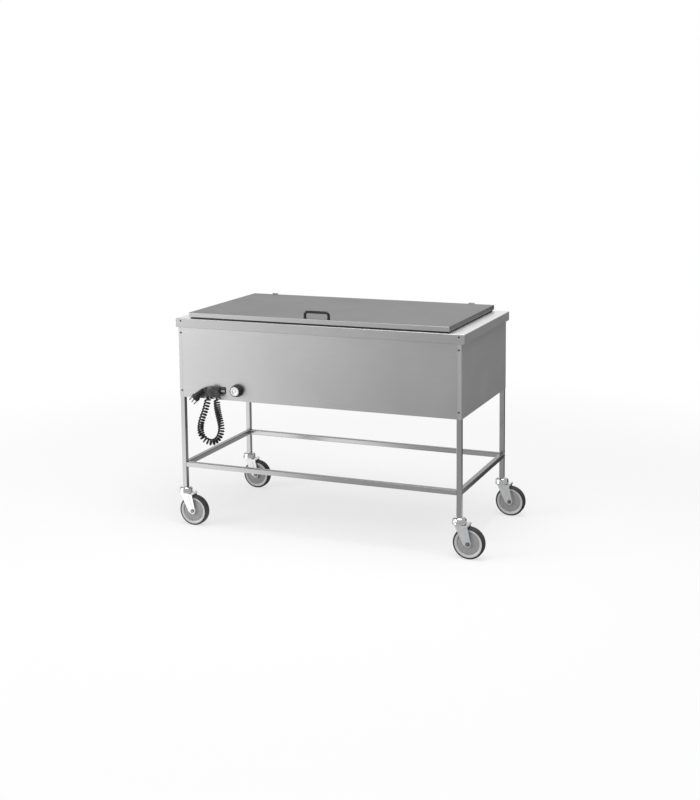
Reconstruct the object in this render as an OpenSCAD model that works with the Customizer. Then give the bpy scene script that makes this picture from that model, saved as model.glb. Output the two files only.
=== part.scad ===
// Hostess trolley: a heated serving well in a stainless body, carried on four
// tube legs with swivel castors, with a hinged lid and a curly mains lead.
// Millimetres, +Z up, the front faces -Y, +X runs along the length.
// The floor is z = 0.

/* [Body] */
// Length of the body over its legs
body_l = 1206; // [1000:1:1500]
// Depth of the body over its legs
body_d = 604; // [560:1:700]
// Height of the deck above the floor
deck_z = 865; // [820:1:950]
// Height of the lower edge of the panels above the floor
panel_z = 540; // [500:1:580]
// Thickness of the panel and deck sheet
sheet = 1.5; // [1:0.1:2]
// Width of the folded edges of the panels
panel_return = 15; // [10:1:18]
// Gap left between neighbouring sheets
sheet_gap = 0.3; // [0.2:0.1:0.6]

/* [Frame] */
// Side of the square tube of legs and rails
tube_w = 20; // [18:0.5:25]
// Wall of the square tube
tube_wall = 1.5; // [1:0.1:2]
// Outer corner radius of the square tube
tube_r = 2.5; // [2.1:0.1:4]
// Height of the middle of the lower rails above the floor
rail_z = 255; // [240:1:330]
// Thickness of the plug that closes each rail end
rail_plug = 14; // [8:1:24]
// Diameter of the rail bolts
rail_bolt_d = 6; // [4:0.5:8]

/* [Deck] */
// How far the deck reaches past the legs at each side
deck_side = 12; // [6:1:25]
// How far the deck reaches past the legs at the back
deck_back = 9; // [6:1:25]
// Height of the folded edge of the deck
deck_edge_h = 37; // [25:1:50]
// Bend radius of the deck and panel edges
bend_r = 3; // [2.2:0.1:5]

/* [Well] */
// Inner length of the well
well_l = 1010; // [800:1:1040]
// Inner depth of the well from front to back
well_d = 512; // [400:1:520]
// Inner height of the well
well_h = 210; // [150:1:230]
// Corner radius of the well in plan
well_r = 28; // [20:1:50]
// Radius between the walls and the floor of the well
well_floor_r = 14; // [8:1:19]
// Thickness of the well's sheet
well_sheet = 1; // [0.8:0.1:1.5]
// Width of the hidden flange round the well
well_flange = 12; // [8:1:14]
// Diameter of the tubular heating element
element_d = 8.5; // [6:0.5:12]
// Distance between the runs of the heating element
element_pitch = 60; // [40:1:64]
// Length of the straight runs of the heating element
element_run = 760; // [500:10:780]

/* [Lid] */
// Length of the lid
lid_l = 1110; // [1060:1:1180]
// Distance from the back of the lid to the back of the deck
lid_back = 16.5; // [14:0.5:30]
// Height of the lid's folded edge
lid_h = 19; // [15:1:30]
// Gap between the lid's edge and the deck, filled by the seal
lid_gap = 7; // [4:0.5:10]
// Distance from the front of the body to the front of the lid
lid_inset = 4; // [2:0.5:8]
// Thickness of the lid sheet
lid_sheet = 1.2; // [0.8:0.1:1.5]
// Height of the edge of the lid's inner sheet
liner_h = 10; // [6:1:12]
// Width of the seal under the lid
seal_w = 12; // [8:1:15]
// Distance from the lid's edge to the seal
seal_inset = 5; // [3:1:10]
// Length of a hinge
hinge_l = 22; // [20:1:70]
// Distance of each hinge from the middle of the lid
hinge_x = 455; // [300:1:480]
// Diameter of the hinge pin
hinge_pin_d = 4; // [3:0.5:5]
// Wall of the hinge knuckles round the pin
knuckle_wall = 2.4; // [1.5:0.1:3]
// Distance between the handle's two feet
handle_l = 101; // [80:1:160]
// Height of the top of the handle above the lid
handle_h = 32; // [28:1:50]
// Diameter of the handle's bar
handle_d = 11; // [8:0.5:14]
// Bend radius in the handle's corners
handle_r = 12; // [10:1:16]
// Distance of the handle from the lid's front edge
handle_inset = 10; // [9:1:40]

/* [Castors] */
// Wheel diameter
wheel_d = 125; // [100:1:125]
// Width of the tyre
tyre_w = 32; // [26:1:36]
// Height from the floor to the foot of the leg
castor_h = 160; // [158:1:180]
// Distance of the axle behind the swivel axis
trail = 38.5; // [34:0.5:44]
// Diameter of the swivel housing
housing_d = 58; // [52:1:64]
// Height of the swivel housing
housing_h = 26; // [22:1:28]
// Thickness of the fork's pressed sheet
fork_t = 2.5; // [2:0.1:3.5]
// Gap between the tyre and each cheek of the fork
fork_gap = 3.5; // [2.5:0.1:5]
// Radius of the fork's rounded end at the axle
fork_end_r = 12.5; // [11:0.5:16]
// Diameter of the axle bolt
axle_d = 8; // [6:0.5:10]
// Length of the stem inside the leg
stem_h = 45; // [30:1:60]
// Radial thickness of the rubber tyre
tyre_t = 8; // [6:0.5:12]

/* [Controls] */
// Position of the knob along the front
knob_x = -339; // [-380:1:200]
// Height of the knob above the floor
knob_z = 584; // [580:1:640]
// Diameter of the knob's skirt
knob_d = 52; // [44:1:60]
// Diameter of the knob's front
knob_front_d = 42; // [36:1:43]
// How far the knob stands out of its skirt's foot
knob_h = 26; // [20:1:32]
// Diameter of the thermostat's spindle
spindle_d = 6; // [5:0.5:7]
// Distance from the knob to the rocker switch
switch_pitch = 65; // [50:1:70]
// Width of the switch's frame
switch_w = 25; // [22:1:30]
// Height of the switch's frame
switch_h = 27; // [24:1:34]
// Thickness of the rim of the switch's frame
switch_rim = 4; // [3:0.5:5]
// Angle that the rocker tilts to each side
rocker_tilt = 9; // [6:1:12]

/* [Cord] */
// Diameter of the mains lead
cord_d = 7; // [6:0.1:7.2]
// Outer diameter of the curly part of the lead
curl_d = 28; // [24:0.5:29]
// Pitch where the curls lie close
curl_tight = 7.9; // [7.7:0.1:9]
// Pitch where the curls are drawn open
curl_open = 14; // [13:0.5:15]
// Thickness of the cord holder's base and hood
holder_wall = 3; // [2:0.5:4]
// Diameter of the plug's head
plug_d = 36; // [34:1:38]
// Length of the plug's body with its grip
plug_l = 52; // [46:1:56]
// Length of the plug's pins
pin_l = 19; // [16:1:20]
// Diameter of the plug's pins
pin_d = 5; // [4:0.1:5]
// Distance between neighbouring pins of the plug
pin_pitch = 13; // [9.5:0.5:13]

/* [Hidden] */
$fn = 64;
eps = 0.01;
touch = 0.3;          // seat gap between soft or round pieces and their neighbours
run_gap = 0.05;       // radial clearance of shafts and pins in their bores

corners = ["front_left", "front_right", "back_left", "back_right"];
castor_parts = ["castor_housing", "castor_fork", "castor_axle", "castor_hub", "castor_tyre"];

// Places of the frame
leg_x = body_l / 2 - tube_w / 2;
leg_y = body_d / 2 - tube_w / 2;
leg_top = deck_z - sheet;
front_y = -body_d / 2 - sheet;
tube_bore = tube_w - 2 * tube_wall;
panel_top = deck_z - deck_edge_h - sheet_gap;
deck_l = body_l + 2 * deck_side;
deck_front = front_y;
deck_rear = body_d / 2 + deck_back;
deck_d = deck_rear - deck_front;
deck_mid = (deck_rear + deck_front) / 2;
corner_cover = panel_return + sheet;

// Screws that hold panels and deck to the legs
screw_d = 4;
screw_head_d = 8;
screw_head_h = 2.2;
screw_low = panel_z + 27;
screw_high = panel_top - 22;
screw_deck = deck_z - 10;

// The castor's swivel axis is the leg's middle, its wheel trails towards +X
wheel_r = wheel_d / 2;
race_gap = 1;
crown_top = castor_h - housing_h - race_gap;
cheek_y = tyre_w / 2 + fork_gap;
fork_w = 2 * (cheek_y + fork_t);
stem_r = tube_bore / 2 - 0.2;
rim_r = wheel_r - tyre_t;
axle_head = 0.6 * axle_d;

// Lid, seal and hinges
lid_bottom = deck_z + lid_gap;
lid_top = lid_bottom + lid_h;
lid_front = front_y + lid_inset;
lid_rear = deck_rear - lid_back;
lid_d = lid_rear - lid_front;
lid_mid = (lid_front + lid_rear) / 2;
knuckle_r = hinge_pin_d / 2 + knuckle_wall;
hinge_leaf = 1.5;
hinge_y = lid_rear + hinge_leaf + knuckle_r + touch;
hinge_z = lid_top - 1;
handle_y = lid_front + handle_inset;
handle_x = 8;

// Well
well_rim = deck_z - sheet;
well_floor = well_rim - well_h;
well_base = well_floor - well_sheet;
element_z = well_base - touch - element_d / 2;
element_runs = 6;

// Controls
switch_x = knob_x - switch_pitch;
switch_z = knob_z - 4;
knob_gap = 0.6;
knob_widest = 8;      // height at which the knob's skirt is widest
bush_r = 5;

// Cord holder and lead, placed about the holder's middle and the panel's
// lower edge
holder_x = switch_x - 37;
cord_y = front_y - 14;
cord_r = cord_d / 2;
saddle_r = 21;
saddle = [13.8 - cord_r - touch - saddle_r, 23];
gland_x = -27;
gland_z = 6;
gland_h = 16;
gland_d = 10;
lip_y = cord_y - cord_r - 1.5;
arm_end = -41;
arm_h = 12;
holder_screw_x = 15;
holder_screw_z = [15, 41];
holder_screw_d = 3.5;
plug_dir = [-0.63, -0.25, -0.735];
pin_row = [0.76, 0.02, -0.65];

// How far the part reaches to each side of the legs' middle, and the shift
// that puts the middle of that reach on the origin
reach_left = max(leg_x + housing_d / 2, deck_l / 2, wheel_r + leg_x - trail);
reach_right = max(leg_x + trail + wheel_r, deck_l / 2);
reach_axle = leg_y + fork_w / 2 + axle_head;
reach_front = max(reach_axle, -lip_y + holder_wall, -front_y + knob_h + knob_gap);
reach_back = max(reach_axle, deck_rear);
shift = [(reach_left - reach_right) / 2, (reach_front - reach_back) / 2, 0];

steel = [0.72, 0.72, 0.72];
dark_steel = [0.55, 0.55, 0.56];
zinc = [0.80, 0.81, 0.82];
black = [0.08, 0.08, 0.08];
grey = [0.45, 0.45, 0.46];

function corner_sign(c) =
    c == "front_left" ? [-1, -1] : c == "front_right" ? [1, -1] : c == "back_left" ? [-1, 1] : [1, 1];

// ---------------------------------------------------------------- helpers

// Rounded rectangle about the origin
module rounded_rect(l, w, r) {
    square([l - 2 * r, w], center = true);
    square([l, w - 2 * r], center = true);
    for (x = [-1, 1])
        for (y = [-1, 1])
            translate([x * (l / 2 - r), y * (w / 2 - r)]) circle(r);
}

// Outline with two rounded top corners, standing on the X axis
module arched_rect(w, h, r) {
    translate([-w / 2, 0]) square([w, h - r]);
    translate([-w / 2 + r, 0]) square([w - 2 * r, h]);
    for (x = [-1, 1]) translate([x * (w / 2 - r), h - r]) circle(r);
}

// Block whose top edges are bent over with radius r
module bent_block(l, d, h, r) {
    intersection() {
        rotate([90, 0, 0]) linear_extrude(d, center = true) arched_rect(l, h, r);
        rotate([90, 0, 90]) linear_extrude(l, center = true) arched_rect(d, h, r);
    }
}

// Sheet folded down on all four sides, open below
module folded_tray(l, d, h, t, r) {
    difference() {
        bent_block(l, d, h, r);
        translate([0, 0, -1]) bent_block(l - 2 * t, d - 2 * t, h - t + 1, r - t);
    }
}

// Square tube along Z, starting at the origin
module square_tube(length) {
    linear_extrude(length) difference() {
        rounded_rect(tube_w, tube_w, tube_r);
        rounded_rect(tube_bore, tube_bore, max(tube_r - tube_wall, 0.4));
    }
}

// Screw with a domed head: the head stands on +Z, the shank goes down
module dome_screw(d, head_d, head_h, length) {
    translate([0, 0, -length]) cylinder(d = d, h = length + eps);
    intersection() {
        cylinder(d = head_d, h = head_h);
        translate([0, 0, head_h - head_d * 0.8]) sphere(r = head_d * 0.8);
    }
}

module at_corner(c) {
    s = corner_sign(c);
    translate([s[0] * leg_x, s[1] * leg_y, 0]) children();
}

// ---------------------------------------------------------------- frame

module leg(c) {
    s = corner_sign(c);
    color(steel) at_corner(c) difference() {
        translate([0, 0, castor_h]) square_tube(leg_top - castor_h);
        // rail bolt through the tube along X
        translate([0, 0, rail_z]) rotate([0, 90, 0])
            cylinder(d = rail_bolt_d + 0.4, h = tube_w + 2, center = true);
        // panel and deck screws through the outer walls
        for (z = [screw_low, screw_high, screw_deck])
            translate([0, s[1] * tube_w / 2, z]) rotate([90, 0, 0])
                cylinder(d = screw_d + 2 * run_gap, h = 2 * tube_wall + 2, center = true);
    }
}

// Rail with a plug in each end, along X
module plugged_rail(length, bolted) {
    difference() {
        union() {
            rotate([0, 90, 0]) translate([0, 0, -length / 2]) square_tube(length);
            for (e = [-1, 1])
                translate([e * (length / 2 - rail_plug / 2), 0, 0])
                    cube([rail_plug, tube_bore + eps, tube_bore + eps], center = true);
        }
        if (bolted)
            for (e = [-1, 1])
                translate([e * length / 2, 0, 0]) rotate([0, 90, 0])
                    cylinder(d = rail_bolt_d + 2 * run_gap, h = 2 * rail_plug + 2, center = true);
    }
}

long_rail = body_l - 2 * tube_w;
short_rail = body_d - 2 * tube_w;

module rail_long(sy) {
    color(steel) translate([0, sy * leg_y, rail_z]) plugged_rail(long_rail, true);
}

module rail_short(sx) {
    color(steel) translate([sx * leg_x, 0, rail_z]) rotate([0, 0, 90]) plugged_rail(short_rail, false);
}

module rail_bolts() {
    color(dark_steel)
        for (c = corners) {
            s = corner_sign(c);
            at_corner(c) translate([s[0] * tube_w / 2, 0, rail_z]) rotate([0, s[0] * 90, 0])
                dome_screw(rail_bolt_d, rail_bolt_d * 1.8, rail_bolt_d * 0.55, tube_w + rail_plug - 2);
        }
}

// ---------------------------------------------------------------- castors

// Domed swivel housing with its stem in the leg
module castor_housing(c) {
    edge_r = 6;
    top_r = housing_d / 2 - 3.5;
    color([0.85, 0.86, 0.88]) at_corner(c) translate([0, 0, castor_h]) {
        cylinder(r = stem_r, h = stem_h);
        rotate_extrude() difference() {
            union() {
                translate([0, -housing_h]) square([housing_d / 2, 4]);
                polygon([[0, 3.5 - housing_h], [housing_d / 2 - 0.4, 3.5 - housing_h], [top_r, -edge_r], [0, -edge_r]]);
                translate([0, -edge_r]) square([top_r - edge_r, edge_r]);
                translate([top_r - edge_r, -edge_r]) circle(edge_r);
            }
            translate([-housing_d, -housing_h - 1]) square([housing_d, housing_h + 2]);
            // ball groove under the housing, round the king pin
            translate([11, -housing_h]) square([6, 3]);
        }
        // king pin that carries the fork
        translate([0, 0, -housing_h - race_gap - fork_t - 2]) cylinder(r = 5, h = fork_t + race_gap + 4);
        translate([0, 0, -housing_h - race_gap - fork_t - 4.2]) cylinder(r = 8, h = 4);
    }
}

// Outline of one cheek of the fork, seen from the front, about the swivel axis
module cheek_outline() {
    top = crown_top - wheel_r;
    difference() {
        union() {
            polygon([[-14, top], [trail - 2, top], [trail + fork_end_r * 0.97, 3],
                     [trail - fork_end_r * 0.6, -fork_end_r * 0.8], [trail - 19, -2]]);
            translate([trail, 0]) circle(fork_end_r);
        }
        translate([-castor_h, top]) square([3 * castor_h, castor_h]);
    }
}

module castor_fork(c) {
    crown_r = housing_d / 2 - 5;
    hook_x = trail + 3;
    color(zinc) at_corner(c) difference() {
        union() {
            // crown under the housing
            translate([0, 0, crown_top - fork_t]) intersection() {
                union() {
                    cylinder(r = crown_r, h = fork_t);
                    translate([0, -fork_w / 2, 0]) cube([hook_x, fork_w, fork_t]);
                }
                translate([-castor_h, -fork_w / 2, -1]) cube([2 * castor_h, fork_w, fork_t + 2]);
            }
            // cheeks, each with a pressed rib down its middle
            for (s = [-1, 1])
                translate([0, s * (cheek_y + fork_t / 2), wheel_r]) rotate([90, 0, 0]) {
                    linear_extrude(fork_t, center = true) cheek_outline();
                    translate([0, 0, -s * fork_t / 2]) linear_extrude(2.4, center = true)
                        polygon([[0, crown_top - wheel_r - 8], [22, crown_top - wheel_r - 8],
                                 [trail - 1, 13], [trail - 10, 13]]);
                }
            // rear edge of the crown, turned up behind the housing
            translate([hook_x - fork_t, -fork_w / 2 + 3, crown_top - fork_t])
                cube([fork_t, fork_w - 6, 8]);
            translate([hook_x - fork_t - 7, -fork_w / 2 + 3, crown_top + 8 - 2 * fork_t])
                cube([8, fork_w - 6, fork_t]);
        }
        translate([0, 0, crown_top]) cylinder(r = 5 + run_gap, h = 20, center = true);
        translate([trail, 0, wheel_r]) rotate([90, 0, 0])
            cylinder(d = axle_d + 2 * run_gap, h = fork_w + 20, center = true);
    }
}

// Axle bolt with its hexagon head at the front and a nut behind
module castor_axle(c) {
    color(dark_steel) at_corner(c) translate([trail, 0, wheel_r]) rotate([90, 0, 0]) {
        cylinder(d = axle_d, h = fork_w + 2 * axle_head, center = true);
        for (s = [-1, 1])
            translate([0, 0, s * (fork_w + axle_head) / 2]) {
                rotate([0, 0, 15]) cylinder(d = 1.85 * axle_d, h = axle_head, center = true, $fn = 6);
                translate([0, 0, -s * axle_head / 3]) cylinder(d = 2.15 * axle_d, h = axle_head / 3, center = true);
            }
    }
}

// Moulded wheel centre: a dished disc between a rim and a boss
module castor_hub(c) {
    boss_w = tyre_w + 2 * fork_gap - 1;
    color(grey) at_corner(c) translate([trail, 0, wheel_r]) rotate([90, 0, 0]) rotate_extrude() difference() {
        union() {
            translate([axle_d / 2 + run_gap, -boss_w / 2]) square([9, boss_w]);
            translate([axle_d / 2 + 1, -tyre_w / 2 + 4]) square([rim_r - axle_d / 2 - 1, tyre_w - 8]);
            translate([rim_r - 5.5, -tyre_w / 2 + 1]) square([5.5, tyre_w - 2]);
        }
        // shallow channel beside the rim
        for (s = [-1, 1]) translate([rim_r - 8.5, s * (tyre_w / 2 - 4)]) circle(2.4);
    }
}

module castor_tyre(c) {
    color(black) at_corner(c) translate([trail, 0, wheel_r]) rotate([90, 0, 0]) rotate_extrude()
        difference() {
            union() {
                translate([rim_r, -tyre_w / 2]) square([tyre_t - 4, tyre_w]);
                translate([wheel_r - 5, -tyre_w / 2 + 4]) square([5, tyre_w - 8]);
                for (s = [-1, 1]) translate([wheel_r - 4, s * (tyre_w / 2 - 4)]) circle(4);
            }
            translate([0, -tyre_w]) square([rim_r, 2 * tyre_w]);
        }
}

// ---------------------------------------------------------------- body

// Side panel with a return round the front and the back corner and one below
module side_panel(sx) {
    outer = body_l / 2 + sheet;
    color(dark_steel) mirror([sx < 0 ? 1 : 0, 0, 0]) difference() {
        union() {
            // corner returns, bent in plan
            translate([0, 0, panel_z]) linear_extrude(panel_top - panel_z) difference() {
                translate([0, -body_d / 2 - sheet]) {
                    translate([outer - corner_cover, 0]) square([corner_cover - bend_r, body_d + 2 * sheet]);
                    translate([outer - corner_cover, bend_r])
                        square([corner_cover, body_d + 2 * sheet - 2 * bend_r]);
                    for (y = [bend_r, body_d + 2 * sheet - bend_r]) translate([outer - bend_r, y]) circle(bend_r);
                }
                translate([outer - corner_cover - 1, -body_d / 2]) square([corner_cover + 1 - sheet, body_d]);
            }
            // upper part behind the folded edge of the deck
            translate([body_l / 2, -body_d / 2, panel_top - 10]) cube([sheet, body_d, leg_top - panel_top + 10]);
            // return below, between the legs
            translate([body_l / 2 - panel_return, -body_d / 2 + tube_w + 1, panel_z])
                cube([panel_return + eps, body_d - 2 * tube_w - 2, sheet]);
        }
        for (y = [-1, 1])
            for (z = [screw_low, screw_high])
                translate([leg_x, y * body_d / 2, z]) rotate([90, 0, 0])
                    cylinder(d = screw_d + 2 * run_gap, h = 10, center = true);
    }
}

// Flat panel between the corner returns, edges folded in above and below
module long_panel(top) {
    half = body_l / 2 + sheet - corner_cover - sheet_gap;
    fold = body_l / 2 - tube_w - 1;
    translate([-half, -sheet, panel_z]) cube([2 * half, sheet, top - panel_z]);
    for (z = [panel_z, top - sheet])
        translate([-fold, -eps, z]) cube([2 * fold, panel_return, sheet]);
}

module front_panel() {
    color([0.78, 0.78, 0.78]) difference() {
        translate([0, -body_d / 2, 0]) long_panel(panel_top);
        translate([knob_x, front_y, knob_z]) rotate([90, 0, 0])
            cylinder(r = bush_r + 0.2, h = 10, center = true);
        translate([switch_x, front_y, switch_z])
            cube([switch_w - 2, 10, switch_h - 2], center = true);
        at_holder() {
            translate([gland_x, front_y, saddle[1]]) rotate([90, 0, 0])
                cylinder(d = cord_d + 1, h = 10, center = true);
            holder_screw_holes();
        }
    }
}

module back_panel() {
    color(dark_steel) translate([0, body_d / 2, 0]) mirror([0, 1, 0]) long_panel(leg_top);
}

// Sheet that closes the body from below, notched round the legs
module bottom_cover() {
    notch = tube_w + 0.5;
    color(dark_steel) translate([0, 0, panel_z + sheet]) difference() {
        linear_extrude(well_sheet) square([body_l - 1, body_d - 1], center = true);
        for (x = [-1, 1])
            for (y = [-1, 1])
                translate([x * body_l / 2, y * body_d / 2, 0]) cube([2 * notch, 2 * notch, 10], center = true);
    }
}

module panel_screws() {
    color([0.3, 0.3, 0.3])
        for (c = corners) {
            s = corner_sign(c);
            // through the corner returns, and through the deck's edge at the front
            heights = s[1] < 0 ? [screw_low, screw_high, screw_deck] : [screw_low, screw_high];
            for (z = heights)
                translate([s[0] * leg_x, s[1] * (body_d / 2 + sheet), z]) rotate([s[1] < 0 ? 90 : -90, 0, 0])
                    dome_screw(screw_d, screw_head_d, screw_head_h, sheet + tube_wall + 3);
        }
}

// Top sheet of the body: edges folded down, with the mouth of the well
module deck() {
    color(steel) difference() {
        translate([0, deck_mid, deck_z - deck_edge_h])
            folded_tray(deck_l, deck_d, deck_edge_h, sheet, bend_r);
        translate([0, 0, deck_z - 5]) linear_extrude(10) rounded_rect(well_l, well_d, well_r);
        for (x = [-leg_x, leg_x])
            translate([x, -body_d / 2, screw_deck]) rotate([90, 0, 0])
                cylinder(d = screw_d + 2 * run_gap, h = 10, center = true);
    }
}

// Block with rounded plan corners and rounded bottom edges
module tub_block(l, d, h, plan_r, floor_r) {
    intersection() {
        translate([0, 0, h]) mirror([0, 0, 1]) bent_block(l, d, h, floor_r);
        linear_extrude(h) rounded_rect(l, d, plan_r);
    }
}

// Pressed well with a flange under the deck
module well() {
    color(zinc) difference() {
        union() {
            translate([0, 0, well_base])
                tub_block(well_l + 2 * well_sheet, well_d + 2 * well_sheet, well_rim - well_base,
                          well_r + well_sheet, well_floor_r + well_sheet);
            translate([0, 0, well_rim - well_sheet]) linear_extrude(well_sheet)
                rounded_rect(well_l + 2 * well_flange, well_d + 2 * well_flange, well_r + well_flange);
        }
        translate([0, 0, well_floor]) tub_block(well_l, well_d, well_h + 5, well_r, well_floor_r);
    }
}

// Tubular element: parallel runs joined by half-round bends, under the well
module heating_element() {
    first = -(element_runs - 1) / 2 * element_pitch;
    bend = element_pitch / 2;
    cold_l = 40;
    tag_l = 30;
    tag_d = 4;
    color([0.35, 0.33, 0.32]) translate([0, 0, element_z]) {
        for (i = [0 : element_runs - 1])
            translate([0, first + i * element_pitch, 0]) rotate([0, 90, 0])
                cylinder(d = element_d, h = element_run, center = true);
        for (i = [0 : element_runs - 2])
            translate([(i % 2 == 0 ? 1 : -1) * element_run / 2, first + (i + 0.5) * element_pitch, 0])
                rotate([0, 0, i % 2 == 0 ? -90 : 90])
                    rotate_extrude(angle = 180) translate([bend, 0]) circle(d = element_d);
        // cold ends, on the side of the thermostat
        for (y = [first, -first])
            translate([-element_run / 2 - cold_l, y, 0]) rotate([0, 90, 0]) cylinder(d = element_d, h = cold_l);
        for (y = [first, -first])
            translate([-element_run / 2 - cold_l - tag_l / 2, y, 0]) rotate([0, 90, 0])
                cylinder(d = tag_d, h = tag_l, center = true);
    }
}

// Straps that press the element against the floor of the well
module element_clamps() {
    span = (element_runs - 1) * element_pitch + 50;
    drop = element_d + 2 * touch;
    color(dark_steel)
        for (x = [-1, 0, 1] * element_run * 0.38)
            translate([x, 0, well_base]) {
                translate([-8, -span / 2, -drop - 1.5]) cube([16, span, 1.5]);
                for (y = [-1, 1])
                    translate([-8, y * (span / 2 - 5) - 5, -drop - eps]) cube([16, 10, drop + eps]);
            }
}

// ---------------------------------------------------------------- lid

module lid_skin() {
    color(steel) difference() {
        translate([0, lid_mid, lid_bottom]) folded_tray(lid_l, lid_d, lid_h, lid_sheet, bend_r);
        for (x = [-1, 1])
            translate([handle_x + x * handle_l / 2, handle_y, lid_top])
                cylinder(d = 4.2, h = 10, center = true);
    }
}

// Mat of insulation that fills the lid
module lid_filling() {
    gap = 2 * lid_sheet + 0.4;
    color([0.9, 0.86, 0.7]) difference() {
        translate([0, lid_mid, lid_bottom + lid_sheet + 0.2])
            bent_block(lid_l - 2 * gap, lid_d - 2 * gap, lid_h - 2 * lid_sheet - 0.4, bend_r);
        for (x = [-1, 1])
            translate([handle_x + x * handle_l / 2, handle_y, lid_top]) cylinder(d = 12, h = 3 * lid_h, center = true);
    }
}

// Sheet that closes the lid from below, its edges folded up inside the skin
module lid_liner() {
    room = 2 * lid_sheet + 0.2;
    color(zinc) translate([0, lid_mid, lid_bottom + liner_h]) mirror([0, 0, 1])
        folded_tray(lid_l - room, lid_d - room, liner_h, lid_sheet, 2);
}

// Rubber seal between the lid and the deck
module lid_seal() {
    l = lid_l - 2 * seal_inset;
    d = lid_d - 2 * seal_inset;
    color(black) translate([0, lid_mid, deck_z + touch]) linear_extrude(lid_gap - touch) difference() {
        rounded_rect(l, d, 8);
        rounded_rect(l - 2 * seal_w, d - 2 * seal_w, 3);
    }
}

// Bow handle bent from round bar, on two feet
module handle() {
    color(black) translate([handle_x, handle_y, lid_top]) {
        bar_z = handle_h - handle_d / 2;
        for (s = [-1, 1]) {
            difference() {
                union() {
                    translate([s * handle_l / 2, 0, 0]) cylinder(d = handle_d, h = bar_z - handle_r);
                    translate([s * handle_l / 2, 0, 0]) cylinder(d = handle_d + 3, h = 2.5);
                }
                translate([s * handle_l / 2, 0, -1]) cylinder(d = 4, h = 11);
            }
            translate([s * (handle_l / 2 - handle_r), 0, bar_z - handle_r]) rotate([90, 0, 0])
                rotate([0, 0, s > 0 ? 0 : 90]) rotate_extrude(angle = 90) translate([handle_r, 0]) circle(d = handle_d);
        }
        translate([0, 0, bar_z]) rotate([0, 90, 0])
            cylinder(d = handle_d, h = handle_l - 2 * handle_r, center = true);
    }
}

module handle_screws() {
    color(dark_steel)
        for (x = [-1, 1])
            translate([handle_x + x * handle_l / 2, handle_y, lid_top - lid_sheet]) mirror([0, 0, 1])
                dome_screw(3.9, 9, 2.4, lid_sheet + 9);
}

// One knuckle of a hinge about the pin's axis
module knuckle(from, to, bore) {
    translate([from, hinge_y, hinge_z]) rotate([0, 90, 0]) difference() {
        cylinder(r = knuckle_r, h = to - from);
        translate([0, 0, -1]) cylinder(r = bore, h = to - from + 2);
    }
}

knuckle_gap = 0.4;
knuckle_len = (hinge_l - 2 * knuckle_gap) / 3;

module hinge_lid_leaves() {
    bore = hinge_pin_d / 2 + run_gap;
    color(steel)
        for (s = [-1, 1]) {
            start = s * hinge_x - hinge_l / 2;
            difference() {
                union() {
                    knuckle(start, start + knuckle_len, bore);
                    knuckle(start + hinge_l - knuckle_len, start + hinge_l, bore);
                    // leaf on the lid's rear edge, and its tongues to the knuckles
                    translate([start, lid_rear, lid_bottom + 2])
                        cube([hinge_l, hinge_leaf, hinge_z - lid_bottom - 2]);
                    for (x = [start, start + hinge_l - knuckle_len])
                        translate([x, lid_rear, hinge_z - hinge_leaf])
                            cube([knuckle_len, hinge_y - lid_rear - hinge_pin_d / 2 - 0.5, hinge_leaf]);
                }
                translate([start - 1, hinge_y, hinge_z]) rotate([0, 90, 0]) cylinder(r = bore, h = hinge_l + 2);
            }
        }
}

module hinge_deck_leaves() {
    color(steel)
        for (s = [-1, 1]) {
            start = s * hinge_x - knuckle_len / 2;
            knuckle(start, start + knuckle_len, hinge_pin_d / 2 + run_gap);
            // post from the knuckle down to a foot on the deck
            translate([start, hinge_y + hinge_pin_d / 2 + 0.6, deck_z])
                cube([knuckle_len, hinge_leaf, hinge_z - deck_z]);
            translate([s * hinge_x - hinge_l / 2, hinge_y + hinge_pin_d / 2 + 0.6 + hinge_leaf - 9, deck_z])
                cube([hinge_l, 9, hinge_leaf]);
        }
}

module hinge_pins() {
    color(dark_steel)
        for (s = [-1, 1])
            translate([s * hinge_x, hinge_y, hinge_z]) rotate([0, 90, 0]) {
                cylinder(d = hinge_pin_d, h = hinge_l, center = true);
                for (e = [-1, 1])
                    translate([0, 0, e * (hinge_l / 2 + 0.6)]) cylinder(r = knuckle_r - 0.8, h = 1.2, center = true);
            }
}

// ---------------------------------------------------------------- controls

module thermostat() {
    color(grey) translate([knob_x, -body_d / 2, knob_z]) rotate([90, 0, 0]) difference() {
        union() {
            translate([-22, -19, -36]) cube([44, 38, 34]);
            translate([0, 0, -3]) cylinder(r = bush_r + 3, h = 3);
            cylinder(r = bush_r, h = sheet + 5);
            // nut on the front of the panel, under the knob
            translate([0, 0, sheet]) cylinder(r = bush_r + 4, h = 3, $fn = 6);
        }
        translate([0, 0, -12]) cylinder(d = spindle_d + 2 * run_gap, h = 40);
    }
}

module spindle() {
    color(dark_steel) translate([knob_x, -body_d / 2, knob_z]) rotate([90, 0, 0])
        translate([0, 0, -11]) cylinder(d = spindle_d, h = 11 + sheet + knob_gap + knob_h - 8);
}

// Knob about the spindle, its foot at z = 0
module knob() {
    recess = 6;
    color(black) translate([knob_x, front_y - knob_gap, knob_z]) rotate([90, 0, 0]) difference() {
        union() {
            // widest a little off the panel, narrower to its foot and to its front
            rotate_extrude($fn = 96)
                polygon([[0, 0], [knob_d / 2 - 4, 0], [knob_d / 2, knob_widest - 2], [knob_d / 2, knob_widest + 1],
                         [knob_front_d / 2, knob_h], [0, knob_h]]);
            // pointer on the rim of the front
            translate([-knob_front_d / 2 - 1.5, -1.5, knob_h - 9]) cube([5, 3, 9]);
        }
        translate([0, 0, -1]) cylinder(r = bush_r + 4.6, h = recess + 1);
        translate([0, 0, -1]) cylinder(d = spindle_d + 2 * run_gap, h = knob_h - 6);
        translate([0, 0, knob_h - 1.5]) cylinder(d = knob_front_d - 4, h = 5);
    }
}

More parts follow.
